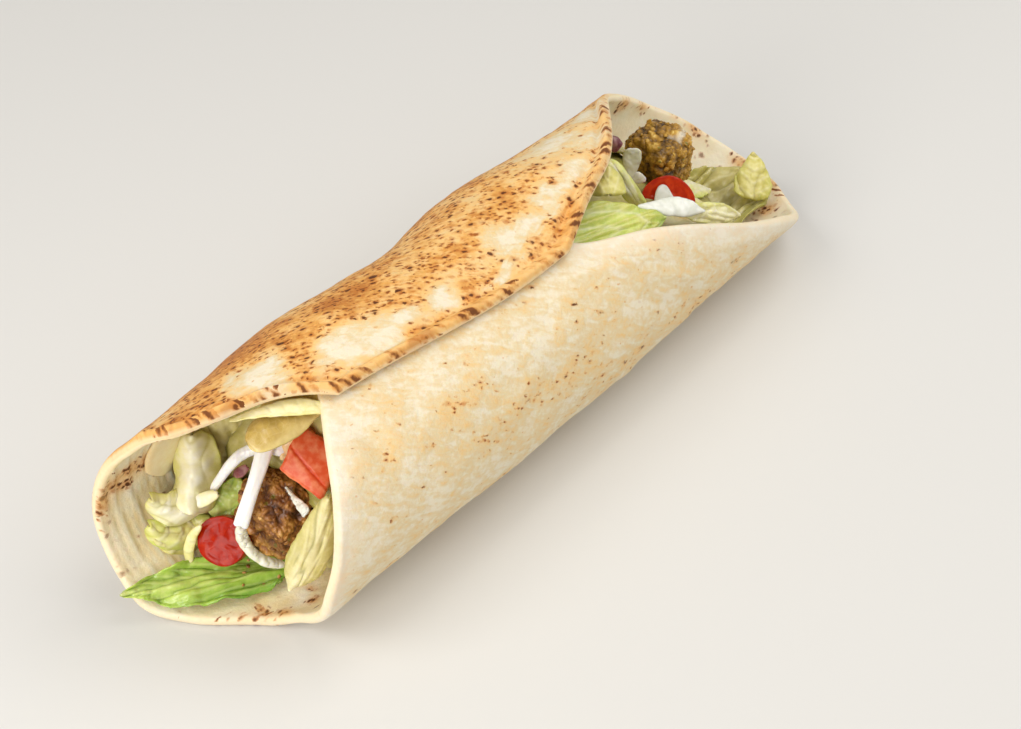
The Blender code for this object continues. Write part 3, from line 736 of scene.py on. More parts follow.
tomatoes = {
    "tomatoSliceNear": {
        "node": "tomato_slice_near", "centre": (-.0974, .0110, .0180), "radius": .0074, "thickness": .0055,
        "tilt": (45, -60), "pockets": 3, "turn": 25, "cut": 0.12, "pulp": 0.20},
    "tomatoSliceFar": {
        "node": "tomato_slice_far", "centre": (.0869, -.0086, .0412), "radius": .0087, "thickness": .0045,
        "tilt": (42, -40), "pockets": 4, "turn": 10, "cut": 0.30, "pulp": 0.36},
}
chunk = {"centre": (-.0740, -.0066, .0480), "sides": (.0150, .0080, .0145), "turn": (-53, 24, -76),
         "bulge": .0010, "corner": .0009, "cuts": 30, "lumps": (.0005, .0045),
         "crease": (.0018, .00030, .00035)}    # a fold in the skin: place, half width and depth


def makeTomatoMaterial():
    material, tree, shader = newMaterial("ripeTomato", {
        "Roughness": 0.22, "IOR": 1.38, "Specular IOR Level": 0.22,
        "Subsurface Weight": 0.10, "Subsurface Radius": (1.0, 0.20, 0.08), "Subsurface Scale": 0.0010,
        "Coat Weight": 0.05, "Coat Roughness": 0.10})
    place = addNode(tree, "ShaderNodeTexCoord", out="Object")
    pulp = addNode(tree, "ShaderNodeAttribute", out="Fac", attribute_name="pulp")
    fibre = addNode(tree, "ShaderNodeTexNoise", {"Vector": place, "Scale": 420.0, "Detail": 4.0})
    varied = mottled(tree, pulp, ((fibre, 0.12),))
    colour = addNode(tree, "ShaderNodeValToRGB", {0: varied}, stops=(
        (0.0, "#8c1002"), (0.25, "#ae2104"), (0.5, "#c8390c"), (0.75, "#dc5a33"), (1.0, "#ee9a70")))
    tree.links.new(colour, shader.inputs["Base Color"])
    relief = addNode(tree, "ShaderNodeBump", {"Strength": 0.25, "Distance": 0.0004, "Height": fibre})
    tree.links.new(relief, shader.inputs["Normal"])
    return material


def sliceTurn(tilt):
    lean, spin = (math.radians(angle) for angle in tilt)
    return np.array(Matrix.Rotation(spin, 3, "Z") @ Matrix.Rotation(lean, 3, "X"))


def makeSlice(name, disc, material):
    rows, columns = 90, 160
    fall = np.linspace(0, math.pi, rows)[:, None]
    turn = np.linspace(0, 2 * math.pi, columns, endpoint=False)[None, :]
    radius, half = disc["radius"], disc["thickness"] / 2
    cap = ease((np.abs(np.cos(fall)) - 0.55) / 0.12)              # 1 on the two cut faces, 0 on the skin
    reach = np.minimum(1.0, np.sin(fall) * 1.22) + 0 * turn
    reach = reach + 0.03 * (1 - cap) * np.sin(fall) ** 2
    reach = reach * (1 + 0.025 * np.cos(2 * turn + 1) + 0.012 * np.cos(5 * turn))    # not quite round
    level = np.clip(np.cos(fall) * 1.7, -1, 1) + 0 * turn
    share = np.abs(((turn * disc["pockets"] / (2 * math.pi) + disc["turn"] / 90) % 1) - 0.5) * 2
    pocket = cap * ease((0.80 - reach) / 0.10) * ease((reach - 0.26) / 0.12) * ease((0.80 - share) / 0.2)
    pocket = pocket * disc["cut"]
    x, y = radius * reach * np.cos(turn), radius * reach * np.sin(turn)
    z = half * level * (1 - cap * (0.34 * pocket - 0.22 * (1 - reach**2)))
    points = np.stack([x, y, z], -1)
    points = points + 0.00018 * cap[..., None] * noiseAt(points, .0026, 3)[..., None] * (0, 0, 1)
    heart = 0.30 * ease((0.90 - reach) / 0.06) + 0.3 * bell(reach / 0.18)
    pulp = disc["pulp"] + cap * disc["cut"] * heart - 0.30 * pocket
    points = points @ sliceTurn(disc["tilt"]).T + disc["centre"]
    index = 1 + np.arange((rows - 2) * columns).reshape(rows - 2, columns)
    right = np.roll(index, -1, axis=1)
    last = int(index[-1, -1]) + 1
    faces = np.stack([index[:-1], index[1:], right[1:], right[:-1]], -1).reshape(-1, 4).tolist()
    faces += [[0, a, b] for a, b in zip(index[0].tolist(), right[0].tolist())]
    faces += [[last, b, a] for a, b in zip(index[-1].tolist(), right[-1].tolist())]
    points, pulp = (np.concatenate([grid[0, :1], grid[1:-1].reshape(-1, *grid.shape[2:]), grid[-1, :1]])
                    for grid in (points, pulp))
    mesh = newMesh(name, points, faces, material, {"pulp": pulp})
    return settle(addPiece(name, mesh), "tomato", disc["node"])


def makeChunk(material):
    bm = bmesh.new()
    bmesh.ops.create_cube(bm, size=1.0)
    bmesh.ops.subdivide_edges(bm, edges=bm.edges, cuts=chunk["cuts"], use_grid_fill=True)
    points, faces = meshArrays(bm)
    sides, corner = np.array(chunk["sides"]), chunk["corner"]
    core = np.clip(points * sides, -(sides / 2 - corner), sides / 2 - corner)
    local = core + unit(points * sides - core) * corner
    dome = (1 - 4 * points[:, 0] ** 2) * (1 - 4 * points[:, 2] ** 2)
    local[:, 1] -= chunk["bulge"] * dome * (0.5 - points[:, 1])
    local[:, 0] -= 0.10 * local[:, 2] + 0.0006 * np.sin(points[:, 2] * 5)
    cut = ease((points[:, 1] + 0.46) / 0.05)                      # 0 on the skin and 1 on the cut faces
    lumpHeight, lumpSize = chunk["lumps"]
    local += unit(local) * (lumpHeight * noiseAt(local, lumpSize, 5, 2) * (0.3 + cut))[:, None]
    at, width, depth = chunk["crease"]
    crease = bell((local[:, 2] + 0.25 * local[:, 0] + at) / width)
    local[:, 1] += depth * crease * (1 - cut)
    rx, ry, rz = (math.radians(angle) for angle in chunk["turn"])
    spin = Matrix.Rotation(rz, 3, "Z") @ Matrix.Rotation(ry, 3, "Y") @ Matrix.Rotation(rx, 3, "X")
    places = local @ np.array(spin).T + chunk["centre"]
    # The skin is darker along its crease: painted shade
    pulp = 0.80 + 0.06 * cut - 0.35 * crease * (1 - cut)
    mesh = newMesh("tomatoChunk", places, faces, material, {"pulp": pulp})
    return settle(addPiece("tomatoChunk", mesh), "tomato", "tomato_wedge_near")


ripeTomato = makeTomatoMaterial()
for name, disc in tomatoes.items():
    makeSlice(name, disc, ripeTomato)
makeChunk(ripeTomato)


# Falafel: ground chickpeas and herbs fried to a coarse, oily dark crust, with painted shade in its crevices
# and painted highlights on its high points

falafels = {
    "falafelNear": {"node": "falafel_near", "finish": "friedCrust", "centre": (-.0805, .0040, .0215),
                    "half": (.0115, .0120, .0150), "boxiness": 2.6, "seed": 1.0, "crag": .10,
                    "film": (0, 0, 0, .0001)},
    "falafelFar": {"node": "falafel_far", "finish": "oilyCrust", "centre": (.1012, .0068, .0440),
                   "half": (.0094, .0096, .0102), "boxiness": 4.2, "seed": 2.0, "crag": .08,
                   "film": (.1055, .0030, .0500, .0042)},
}
# Size of lump in metres, and how far it stands out
crust = ((.0056, .0014), (.0028, .0010), (.0014, .0005))
crustFinishes = {
    "friedCrust": {"stops": ((0.0, "#3a1a08"), (0.28, "#6c3d16"), (0.52, "#9b642a"), (0.76, "#bd8641"),
                             (1.0, "#e0b269")),
                   "rough": 0.46, "coat": 0.30, "herb": "#7c7a2c"},
    "oilyCrust": {"stops": ((0.0, "#3c2506"), (0.25, "#7b570f"), (0.50, "#ab7d22"), (0.75, "#cc9d3a"),
                            (1.0, "#f0d074")),
                  "rough": 0.40, "coat": 0.22, "herb": "#6f7a2a"},
}


def makeCrustMaterial(name, finish):
    material, tree, shader = newMaterial(name, {
        "Roughness": finish["rough"], "IOR": 1.46, "Specular IOR Level": 0.5,
        "Coat Weight": finish["coat"], "Coat Roughness": 0.12})
    place = addNode(tree, "ShaderNodeTexCoord", out="Object")
    level, film = (addNode(tree, "ShaderNodeAttribute", out="Fac", attribute_name=key)
                   for key in ("level", "film"))
    grit = addNode(tree, "ShaderNodeTexNoise", {
        "Vector": place, "Scale": 700.0, "Detail": 4.0, "Roughness": 0.65})
    patch = addNode(tree, "ShaderNodeTexNoise", {"Vector": place, "Scale": 160.0, "Detail": 3.0})
    level = mottled(tree, level, ((patch, 0.20), (grit, 0.14)))
    # Colour follows the crust's height: painted shade in the crevices, painted highlights on the high points
    colour = addNode(tree, "ShaderNodeValToRGB", {0: level}, stops=finish["stops"])
    found, drawn, _ = spotted(tree, place, 380.0)
    rare = addNode(tree, "ShaderNodeMapRange", {"Value": drawn, "From Min": 0.80, "From Max": 0.86})
    small = addNode(tree, "ShaderNodeMapRange", {
        "Value": found, "From Min": 0.34, "From Max": 0.22, "To Max": 0.6})
    colour = tinted(tree, colour, ((rare, small, finish["herb"]), (film, 0.75, "#e9e4d2")))
    tree.links.new(colour, shader.inputs["Base Color"])
    relief = addNode(tree, "ShaderNodeBump", {"Strength": 0.5, "Distance": 0.0005, "Height": grit})
    tree.links.new(relief, shader.inputs["Normal"])
    return material


def makeFalafel(name, ball, material):
    bm = bmesh.new()
    bmesh.ops.create_icosphere(bm, subdivisions=7, radius=1.0)
    out, faces = meshArrays(bm)
    out = unit(out)
    square = (np.abs(out) ** ball["boxiness"]).sum(-1) ** (-1 / ball["boxiness"])
    shift = ball["seed"] * np.array((7.3, 3.1, 5.7))
    lumps = np.array([noise.noise(Vector(p * 1.7 + shift)) + 0.6 * noise.noise(Vector(p * 4.1 + shift))
                      for p in out])
    body = out * np.array(ball["half"]) * (square * (1 + ball["crag"] * lumps))[:, None]
    height = np.zeros(len(out))
    for size, rise in crust:
        near = np.array([noise.voronoi(Vector(p / size + shift))[0][:2] for p in body])
        height += rise * (np.clip(near[:, 1] - near[:, 0], 0, 0.5) - 0.28)
        height += rise * 0.4 * noiseAt(body, size, ball["seed"])
    points = np.array(ball["centre"]) + body + out * height[:, None]
    # Height sets the colour: the crevices get painted shade and the high points painted highlights
    level = (height - height.min()) / (height.max() - height.min())
    *centre, reach = ball["film"]
    away = np.linalg.norm(points - centre, axis=-1) / reach
    film = ease((1.1 - away + 0.5 * noiseAt(points, .003, 9)) / 0.4)
    mesh = newMesh(name, points, faces, material, {"level": level, "film": film})
    return settle(addPiece(name, mesh), "falafel", ball["node"])


crustMaterials = {name: makeCrustMaterial(name, finish) for name, finish in crustFinishes.items()}
for name, ball in falafels.items():
    makeFalafel(name, ball, crustMaterials[ball["finish"]])


# Lettuce, cabbage and onion in the near mouth

nearLeaves = {
    "paleFinger": ("paleLettuce", "lettuce", ("lettuce_pale_near",), {
        "spine": ((-.0862, .0322, .0420), (-.0883, .0305, .0378), (-.0905, .0284, .0342),
                  (-.0930, .0260, .0308), (-.0960, .0238, .0272), (-.0994, .0216, .0236)),
        "widths": ((.0050, .0052), (.0070, .0066), (.0076, .0068), (.0070, .0064), (.0066, .0074),
                   (.0052, .0078)),
        "arch": .0042, "folds": (1.2, .0008), "crumple": (.0012, .012), "frill": (2.0, .0008),
        "pleats": (.0005, .008, 2.0), "veins": (.0060, 30.0, .00015), "ragged": .04,
        "tone": (.06, .50), "fade": (.08, .10), "ends": .12, "seed": 1.2}),
    "paleSkirt": ("paleLettuce", "lettuce", (), {
        "spine": ((-.1112, .0285, .0250), (-.1085, .0270, .0202), (-.1040, .0246, .0168),
                  (-.0985, .0226, .0160), (-.0940, .0200, .0185)),
        "widths": (.0026, .0050, .0056, .0054, .0030), "arch": .0022, "frill": (2.5, .0012), "ragged": .03,
        "pleats": (.0010, .0045, 5.0), "crumple": (.0009, .009), "tone": (.46, .30), "ends": .28,
        "seed": 2.6}),
    "paleHem": ("yellowLettuce", "lettuce", (), {
        "spine": ((-.1120, .0262, .0200), (-.1080, .0240, .0152), (-.1030, .0222, .0128),
                  (-.0985, .0205, .0125)),
        "widths": (.0012, .0030, .0034, .0020), "arch": .0010, "frill": (3.0, .0008),
        "crumple": (.0006, .006), "ragged": .03, "tone": (.30, .35), "ends": .30, "seed": 3.1}),
    "paleTuck": ("paleLettuce", "lettuce", (), {
        "spine": ((-.1075, .0300, .0335), (-.1055, .0290, .0290), (-.1020, .0268, .0250),
                  (-.0960, .0240, .0215)),
        "widths": (.0018, .0046, .0058, .0040), "arch": .0028, "frill": (2.0, .0010),
        "pleats": (.0007, .005, 3.0), "ragged": .03, "tone": (.24, .36), "ends": .30, "seed": 4.4}),
    "oliveLeaf": ("oliveLettuce", "lettuce", (), {
        "spine": ((-.0775, .0310, .0420), (-.0775, .0285, .0350), (-.0785, .0255, .0295),
                  (-.0800, .0225, .0250)),
        "widths": (.0100, .0110, .0090, .0050), "arch": .0015, "pleats": (.0008, .005, 3.0),
        "tone": (.18, .30), "seed": 5.3}),
    "greenScrap": ("greenLettuce", "green_lettuce", (), {
        "spine": ((-.0945, .0205, .0215), (-.0908, .0182, .0225), (-.0868, .0166, .0252),
                  (-.0830, .0160, .0290)),
        "widths": (.0024, .0044, .0050, .0036), "arch": .0012, "pleats": (.0006, .004, 4.0),
        "tone": (.30, .22), "seed": 6.2}),
    "greenLeaf": ("greenLettuce", "green_lettuce", ("lettuce_green_near",), {
        "on": "wall", "counts": (170, 80),
        "spine": ((-.1292, 133, .0052), (-.1208, 126, .0066), (-.1122, 115, .0080),
                  (-.1005, 100, .0084), (-.0868, 84, .0072)),
        "widths": ((.0006, .0006), (.0046, .0044), (.0088, .0086), (.0092, .0088), (.0070, .0066)),
        "ends": .06, "pleats": (.0016, .0042, 5.0), "folds": (1.6, .0007), "frill": (4.0, .0010),
        "crumple": (.0009, .009), "ragged": .12, "veins": (.0026, 10.0, .00018), "tone": (.38, .24),
        "fade": (-.36, .26), "seed": 7.7}),
    # The cup is darker at its middle than at its edges: painted shade inside the cup
    "curlLeaf": ("translucentLettuce", "lettuce", ("lettuce_curl_near",), {
        "on": "wall", "spine": ((-.0560, 276, .0078), (-.0690, 277, .0080), (-.0805, 276, .0086),
                                (-.0912, 272, .0100)),
        "widths": ((.0100, .0050), (.0118, .0066), (.0112, .0080), (.0066, .0060)), "arch": -.0022,
        "frill": (1.5, .0005), "curl": .0018, "crumple": (.0006, .010), "veins": (.02, 0, 0),
        "tone": (.88, -.50), "fade": (.10, -.10), "ragged": .05, "seed": 8.1}),
    "lipLeaf": ("yellowLettuce", "lettuce", (), {
        "on": "wall", "counts": (90, 20),
        "spine": ((-.0915, 262, .0046), (-.0850, 270, .0044), (-.0780, 279, .0046), (-.0700, 289, .0048)),
        "widths": ((.0004, .0004), (.0010, .0028), (.0013, .0046), (.0009, .0034)), "arch": .0003,
        "crumple": (.0004, .007), "tone": (.25, .15), "seed": 9.4}),
    "sideLeaf": ("bedLettuce", "lettuce", ("lettuce_side_near",), {
        "facing": (-.68, -.61, .20), "counts": (130, 60),
        "spine": ((-.0797, -.0200, .0500), (-.0828, -.0195, .0418), (-.0861, -.0184, .0318),
                  (-.0902, -.0164, .0226), (-.0942, -.0140, .0150)),
        "widths": ((.0014, .0014), (.0038, .0036), (.0060, .0060), (.0054, .0056), (.0010, .0016)),
        "arch": .0022, "pleats": (.0005, .0034, 7.0), "veins": (.0028, 5.0, .00018), "frill": (2.0, .0007),
        "crumple": (.0007, .010), "ragged": .10, "tone": (.14, .42), "fade": (.06, .0), "seed": 10.3}),
    "crescentLeaf": ("yellowLettuce", "lettuce", (), {
        "counts": (60, 16),
        "spine": ((-.1012, .0150, .0258), (-.1040, .0172, .0208), (-.1062, .0176, .0150),
                  (-.1072, .0166, .0100)),
        "widths": (.0006, .0015, .0016, .0008), "crumple": (.0003, .006), "arch": .0004,
        "tone": (.20, .20), "seed": 11.0}),
    "longShred": ("whiteCabbage", "cabbage", ("cabbage_long_near",), {
        "counts": (90, 20), "thickness": .0014, "ends": .03,
        "spine": ((-.0790, .0078, .0482), (-.0830, .0060, .0450), (-.0880, .0044, .0405),
                  (-.0925, .0034, .0355), (-.0962, .0028, .0304)),
        "widths": (.0027, .0024, .0021, .0022, .0023), "arch": .0007, "crumple": (.0003, .008),
        "veins": (.0012, 3.0, .0001), "ragged": .03, "tone": (-.05, .10), "seed": 12.5}),
    "lowShred": ("clearOnion", "cabbage", ("cabbage_low_near",), {
        "counts": (90, 24), "thickness": .0010,
        "spine": ((-.0958, .0030, .0312), (-.0974, .0008, .0272), (-.0974, -.0030, .0240),
                  (-.0952, -.0064, .0206), (-.0910, -.0090, .0176)),
        "widths": (.0018, .0019, .0016, .0016, .0010), "arch": .0005, "folds": (1.0, .0004), "ragged": .20,
        "crumple": (.0012, .0035), "tone": (.10, .55), "seed": 13.1}),
    "curvedShred": ("whiteCabbage", "cabbage", ("cabbage_curved_near",), {
        "counts": (110, 20), "thickness": .0011, "ends": .05,
        "spine": ((-.0750, .0042, .0452), (-.0788, .0082, .0464), (-.0822, .0120, .0452),
                  (-.0862, .0140, .0430), (-.0895, .0158, .0386), (-.0930, .0186, .0315)),
        "widths": (.0022, .0019, .0018, .0017, .0015, .0012), "arch": .0006, "crumple": (.0006, .005),
        "veins": (.0012, 3.0, .0001), "ragged": .14, "tone": (.05, .35), "seed": 14.9}),
    "chipShred": ("paleLettuce", "cabbage", (), {
        "counts": (50, 20), "spine": ((-.0998, .0250, .0256), (-.0966, .0196, .0295), (-.0938, .0143, .0341)),
        "widths": (.0014, .0022, .0020), "arch": .0006, "ragged": .22, "ends": .45, "tone": (.14, .22),
        "seed": 15.2}),
    "onionBit": ("redOnion", "cabbage", (), {
        "counts": (40, 16), "spine": ((-.0862, .0160, .0342), (-.0852, .0138, .0368), (-.0838, .0116, .0400)),
        "widths": (.0006, .0017, .0009), "arch": .0004, "tone": (.55, -.30), "seed": 16.0}),
    "peelBit": ("peachPeel", "tomato", (), {
        "counts": (50, 16), "facing": (-.60, -.50, .62),
        "spine": ((-.0680, .0045, .0545), (-.0715, .0042, .0500), (-.0745, .0036, .0462),
                  (-.0770, .0040, .0430)),
        "widths": (.0020, .0022, .0017, .0008), "arch": .0005, "tone": (.35, .30), "seed": 17.0}),
}


# Lettuce and onion in the far mouth

farLeaves = {
    "frontLeaf": ("paleLettuce", "lettuce", ("lettuce_front_far",), {
        "on": "wall", "counts": (150, 70),
        "spine": ((.0240, -67, .0052), (.0350, -60.5, .0054), (.0450, -54.5, .0052), (.0535, -49.5, .0050),
                  (.0590, -46, .0048), (.0650, -42, .0046)),
        "widths": ((.0060, .0120), (.0070, .0140), (.0070, .0140), (.0060, .0085), (.0045, .0050),
                   (.0012, .0012)),
        "folds": (1.0, .0004), "pleats": (.0007, .0045, 6.0), "veins": (.0060, 25.0, .00022),
        "crumple": (.0007, .012), "ragged": .08, "tone": (.74, .20), "fade": (.06, .06), "seed": 21.3}),
    "foldLeaf": ("paleLettuce", "lettuce", ("lettuce_fold_far",), {
        "facing": (-.68, -.61, .25),
        "spine": ((.0604, -.0018, .0724), (.0622, -.0036, .0700), (.0646, -.0064, .0640),
                  (.0676, -.0090, .0570), (.0705, -.0110, .0510)),
        "widths": (.0012, .0028, .0030, .0028, .0020), "arch": .0014, "pleats": (.0005, .0024, 6.0),
        "veins": (.0018, 4.0, .0001), "tone": (.32, .45), "ragged": .05, "seed": 22.7}),
    "lobeLeaf": ("yellowLettuce", "lettuce", (), {
        "spine": ((.0590, -.0030, .0712), (.0570, -.0062, .0684), (.0540, -.0094, .0660)),
        "widths": (.0020, .0052, .0060), "arch": .0022, "tone": (.55, .30), "veins": (.0030, 20.0, .0002),
        "seed": 23.5}),
    "bedLeaf": ("bedLettuce", "lettuce", ("lettuce_bed_far",), {
        "on": "wall", "counts": (160, 100),
        "spine": ((.1000, 95, .0062), (.1140, 92, .0066), (.1290, 91, .0066), (.1450, 96, .0060)),
        "widths": ((.0170, .0050), (.0220, .0180), (.0225, .0205), (.0100, .0100)),
        "pleats": (.0022, .0075, 3.2), "frill": (3.0, .0010), "veins": (.0052, 38.0, .0003),
        "crumple": (.0012, .012), "ragged": .06, "tone": (.36, .34), "fade": (.16, -.05), "seed": 24.2}),
    "tipLeaf": ("yellowLettuce", "lettuce", ("lettuce_tip_far",), {
        "facing": (-.22, -.26, .62),
        "spine": ((.1447, -.0030, .0232), (.1415, -.0060, .0207), (.1370, -.0092, .0178),
                  (.1315, -.0125, .0148)),
        "widths": ((.0008, .0008), (.0042, .0040), (.0072, .0068), (.0062, .0064)), "arch": .0010,
        "pleats": (.0010, .0050, 3.0), "crumple": (.0010, .008), "ragged": .12, "tone": (.62, .28),
        "seed": 25.9}),
    "onionShard": ("clearOnion", "cabbage", ("onion_far",), {
        "facing": (-.68, -.61, .30), "counts": (60, 24),
        "spine": ((.0856, .0062, .0576), (.0848, .0058, .0545), (.0840, .0052, .0512), (.0830, .0044, .0474)),
        "widths": (.0026, .0032, .0026, .0008), "arch": .0004, "ragged": .10, "tone": (.15, .40),
        "seed": 26.4}),
    "onionChip": ("clearOnion", "cabbage", (), {
        "facing": (-.60, -.55, .40), "counts": (40, 20),
        "spine": ((.0830, .0046, .0492), (.0846, .0026, .0474), (.0862, .0006, .0462)),
        "widths": (.0010, .0020, .0008), "ragged": .25, "tone": (.0, .10), "seed": 27.1}),
    "slipShred": ("clearOnion", "cabbage", (), {
        "counts": (50, 20), "spine": ((.0996, -.0128, .0350), (.0985, -.0152, .0325), (.0975, -.0180, .0312)),
        "widths": (.0006, .0022, .0014), "ragged": .25, "arch": .0008, "tone": (.30, .35), "seed": 28.6}),
    "rippleLeaf": ("paleLettuce", "lettuce", (), {
        "on": "wall", "spine": ((.0700, -42, .0058), (.0775, -33, .0058), (.0860, -23, .0056),
                                (.0960, -12, .0052)),
        "widths": (.0010, .0034, .0042, .0020), "pleats": (.0008, .004, 4.0), "tone": (.24, .34), "ends": .30,
        "seed": 30.2}),
    "pickleBit": ("redOnion", "cabbage", (), {
        "facing": (-.50, -.60, .60), "counts": (40, 20),
        "spine": ((.0785, .0120, .0630), (.0795, .0098, .0612), (.0805, .0078, .0596)),
        "widths": (.0014, .0026, .0020), "arch": .0006, "tone": (.75, .20), "seed": 29.0}),
    "capLeaf": ("bedLettuce", "lettuce", (), {
        "facing": (.55, .15, .80), "counts": (110, 70),
        "spine": ((.0870, .0240, .0468), (.0960, .0225, .0402), (.1050, .0210, .0322), (.1140, .0190, .0248),
                  (.1215, .0165, .0182)),
        "widths": (.0030, .0075, .0090, .0070, .0016), "arch": .0014, "pleats": (.0010, .0050, 4.0),
        "frill": (2.4, .0007), "veins": (.0040, 26.0, .0002), "crumple": (.0009, .010), "ragged": .10,
        "tone": (.40, .36), "seed": 31.4}),
    "heartLeaf": ("paleLettuce", "lettuce", (), {
        "facing": (.62, -.05, .78), "counts": (110, 70),
        "spine": ((.0985, .0020, .0340), (.1060, .0045, .0272), (.1130, .0055, .0216), (.1200, .0045, .0170),
                  (.1262, .0020, .0122)),
        "widths": (.0030, .0066, .0080, .0060, .0014), "arch": .0016, "pleats": (.0009, .0044, 4.0),
        "frill": (2.4, .0006), "veins": (.0036, 22.0, .0002), "crumple": (.0008, .009), "ragged": .10,
        "tone": (.36, .34), "seed": 32.9}),
    "stemLeaf": ("yellowLettuce", "lettuce", (), {
        "facing": (.62, -.20, .76), "counts": (90, 50),
        "spine": ((.0965, -.0105, .0348), (.1040, -.0115, .0272), (.1110, -.0110, .0206),
                  (.1185, -.0100, .0140)),
        "widths": (.0020, .0048, .0052, .0014), "arch": .0014, "pleats": (.0007, .0036, 4.0), "ragged": .10,
        "veins": (.0030, 20.0, .0002), "tone": (.50, .30), "seed": 33.7}),
}
for name, (finish, slot, nodes, leaf) in {**nearLeaves, **farLeaves}.items():
    makeLeaf(name, leaf, leafMaterials[finish], slot, *nodes)


# The bread is folded double against the back wall of the near mouth; its finish is the lining's colour
# painted darker and tanner, as painted shade
makeLeaf("breadFold", {
    "on": "wall", "spine": ((-.0905, 208, .0032), (-.0950, 195, .0036), (-.0975, 183, .0038),
                            (-.0978, 171, .0032)),
    "widths": (.0056, .0070, .0068, .0046), "thickness": .0018, "arch": .0006, "ends": .30,
    "veins": (.01, 0, 0), "crumple": (.0002, .012), "ragged": .02, "tone": (.12, .35), "seed": 33.0},
    leafMaterials["shadedBreadFold"], "flatbread")


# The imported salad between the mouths, crumpled from the model's plain core

salad = {"cuts": 3, "crumple": .0022, "size": .0090, "tone": 0.40}


def makeSalad(material):
    bm = bmesh.new()
    bm.from_mesh(frame["nodes"]["salad_core"].data)
    bmesh.ops.remove_doubles(bm, verts=bm.verts, dist=1e-6)
    bmesh.ops.subdivide_edges(bm, edges=bm.edges, cuts=salad["cuts"], use_grid_fill=True)
    bm.normal_update()
    normals = np.array([vertex.normal for vertex in bm.verts])
    points, faces = meshArrays(bm)
    ridged = 0.45 - np.abs(noiseAt(points, salad["size"], 2)) * 1.6
    detail = noiseAt(points, salad["size"] / 3, 4, 2)
    tone = salad["tone"] + 0.5 * noiseAt(points, 0.02, 6) + 0.3 * detail
    # Painted shade in the crumples' hollows
    values = {"tone": tone, "hollow": np.clip(0.7 - ridged, 0, 1), "vein": 0 * detail}
    flat = points[:, :2] + 0.3 * points[:, 2:]
    points = points + normals * (salad["crumple"] * (ridged + 0.3 * detail))[:, None]
    mesh = newMesh("packedSalad", points, faces, material, values, {"leaf": flat})
    return settle(addPiece("packedSalad", mesh), "lettuce", "salad_core")


makeSalad(leafMaterials["bedLettuce"])


# Yogurt sauce: smooth, thick and white, with a soft gloss

def makeSauceMaterial():
    material, tree, shader = newMaterial("yogurtSauce", {
        "Roughness": 0.24, "IOR": 1.36, "Specular IOR Level": 0.5,
        "Subsurface Weight": 0.4, "Subsurface Radius": (1.0, 0.95, 0.85), "Subsurface Scale": 0.0015})
    place = addNode(tree, "ShaderNodeTexCoord", out="Object")
    swirl = addNode(tree, "ShaderNodeTexNoise", {"Vector": place, "Scale": 260.0, "Detail": 2.0})
    colour = addNode(tree, "ShaderNodeValToRGB", {0: swirl}, stops=((0.3, "#dadccf"), (0.7, "#f0f1e9")))
    tree.links.new(colour, shader.inputs["Base Color"])
    relief = addNode(tree, "ShaderNodeBump", {"Strength": 0.2, "Distance": 0.0004, "Height": swirl})
    tree.links.new(relief, shader.inputs["Normal"])
    return material


yogurtSauce = makeSauceMaterial()
# The far pool lies on the tomato slice: its spine is across, up and above the slice's own face
sauces = {
    "sauceFar": {
        "on": "tomatoSliceFar", "counts": (110, 50), "thickness": .0011,
        "spine": ((-.0125, -.0036, .0034), (-.0090, -.0042, .0032), (-.0058, -.0044, .0028),
                  (-.0032, -.0044, .0022), (-.0005, -.0050, .0020), (.0028, -.0060, .0020),
                  (.0062, -.0072, .0020), (.0100, -.0084, .0018)),
        "widths": ((.0006, .0006), (.0016, .0020), (.0034, .0034), (.0100, .0042), (.0068, .0042),
                   (.0042, .0038), (.0028, .0028), (.0008, .0008)),
        "arch": .0007, "crumple": (.0003, .006), "ragged": .05, "seed": 31.0},
    "saucePool": {
        "on": "wall", "counts": (90, 40), "thickness": .0012,
        "spine": ((.0590, -57, .0056), (.0640, -50, .0056), (.0690, -44, .0056), (.0745, -37, .0056),
                  (.0800, -31, .0054)),
        "widths": ((.0010, .0012), (.0022, .0030), (.0028, .0046), (.0022, .0040), (.0008, .0008)),
        "ends": .30, "arch": -.0006, "crumple": (.0004, .006), "ragged": .12, "seed": 34.0},
    "sauceNear": {
        "facing": (-.55, -.50, .66), "counts": (60, 24), "thickness": .0009,
        "spine": ((-.0800, -.0006, .0362), (-.0816, -.0052, .0378), (-.0830, -.0098, .0388),
                  (-.0842, -.0146, .0396)),
        "widths": (.0003, .0006, .0013, .0018), "arch": .0004, "crumple": (.0009, .003), "ragged": .30,
        "seed": 32.0},
}
for name, pool in sauces.items():
    makeLeaf(name, {"veins": (.01, 0, 0), **pool}, yogurtSauce, "cabbage")


# Lumps of crust and loose crumbs of falafel, scattered by Geometry Nodes over what carries them.
# Distance is the least gap between two of them.
scatters = {
    "crustLumpsNear": {"over": "falafelNear", "distance": .0016, "perSquareMetre": 260000.0,
                       "least": .00035, "most": .00095, "flat": 0.6, "rugged": 0.5, "seed": 3},
    "crustLumpsFar": {"over": "falafelFar", "distance": .0016, "perSquareMetre": 260000.0,
                      "least": .00035, "most": .00090, "flat": 0.6, "rugged": 0.5, "seed": 5},
    "crumbsNear": {"over": "greenLeaf", "centre": (-.0905, .0010, .0100), "reach": .0120, "distance": .0012,
                   "perSquareMetre": 60000.0, "least": .00030, "most": .00065, "flat": 0.8, "rugged": 0.4,
                   "seed": 8},
    "crumbsFar": {"over": "bedLeaf", "centre": (.1080, .0060, .0150), "reach": .0170, "distance": .0014,
                  "perSquareMetre": 30000.0, "least": .00035, "most": .00075, "flat": 0.8, "rugged": 0.4,
                  "seed": 9},
}


# The tree's named inputs and the settings that fill them
scatterInputs = {"Distance": "distance", "Per Square Metre": "perSquareMetre", "Least": "least",
                 "Most": "most", "Flat": "flat", "Rugged": "rugged", "Seed": "seed"}


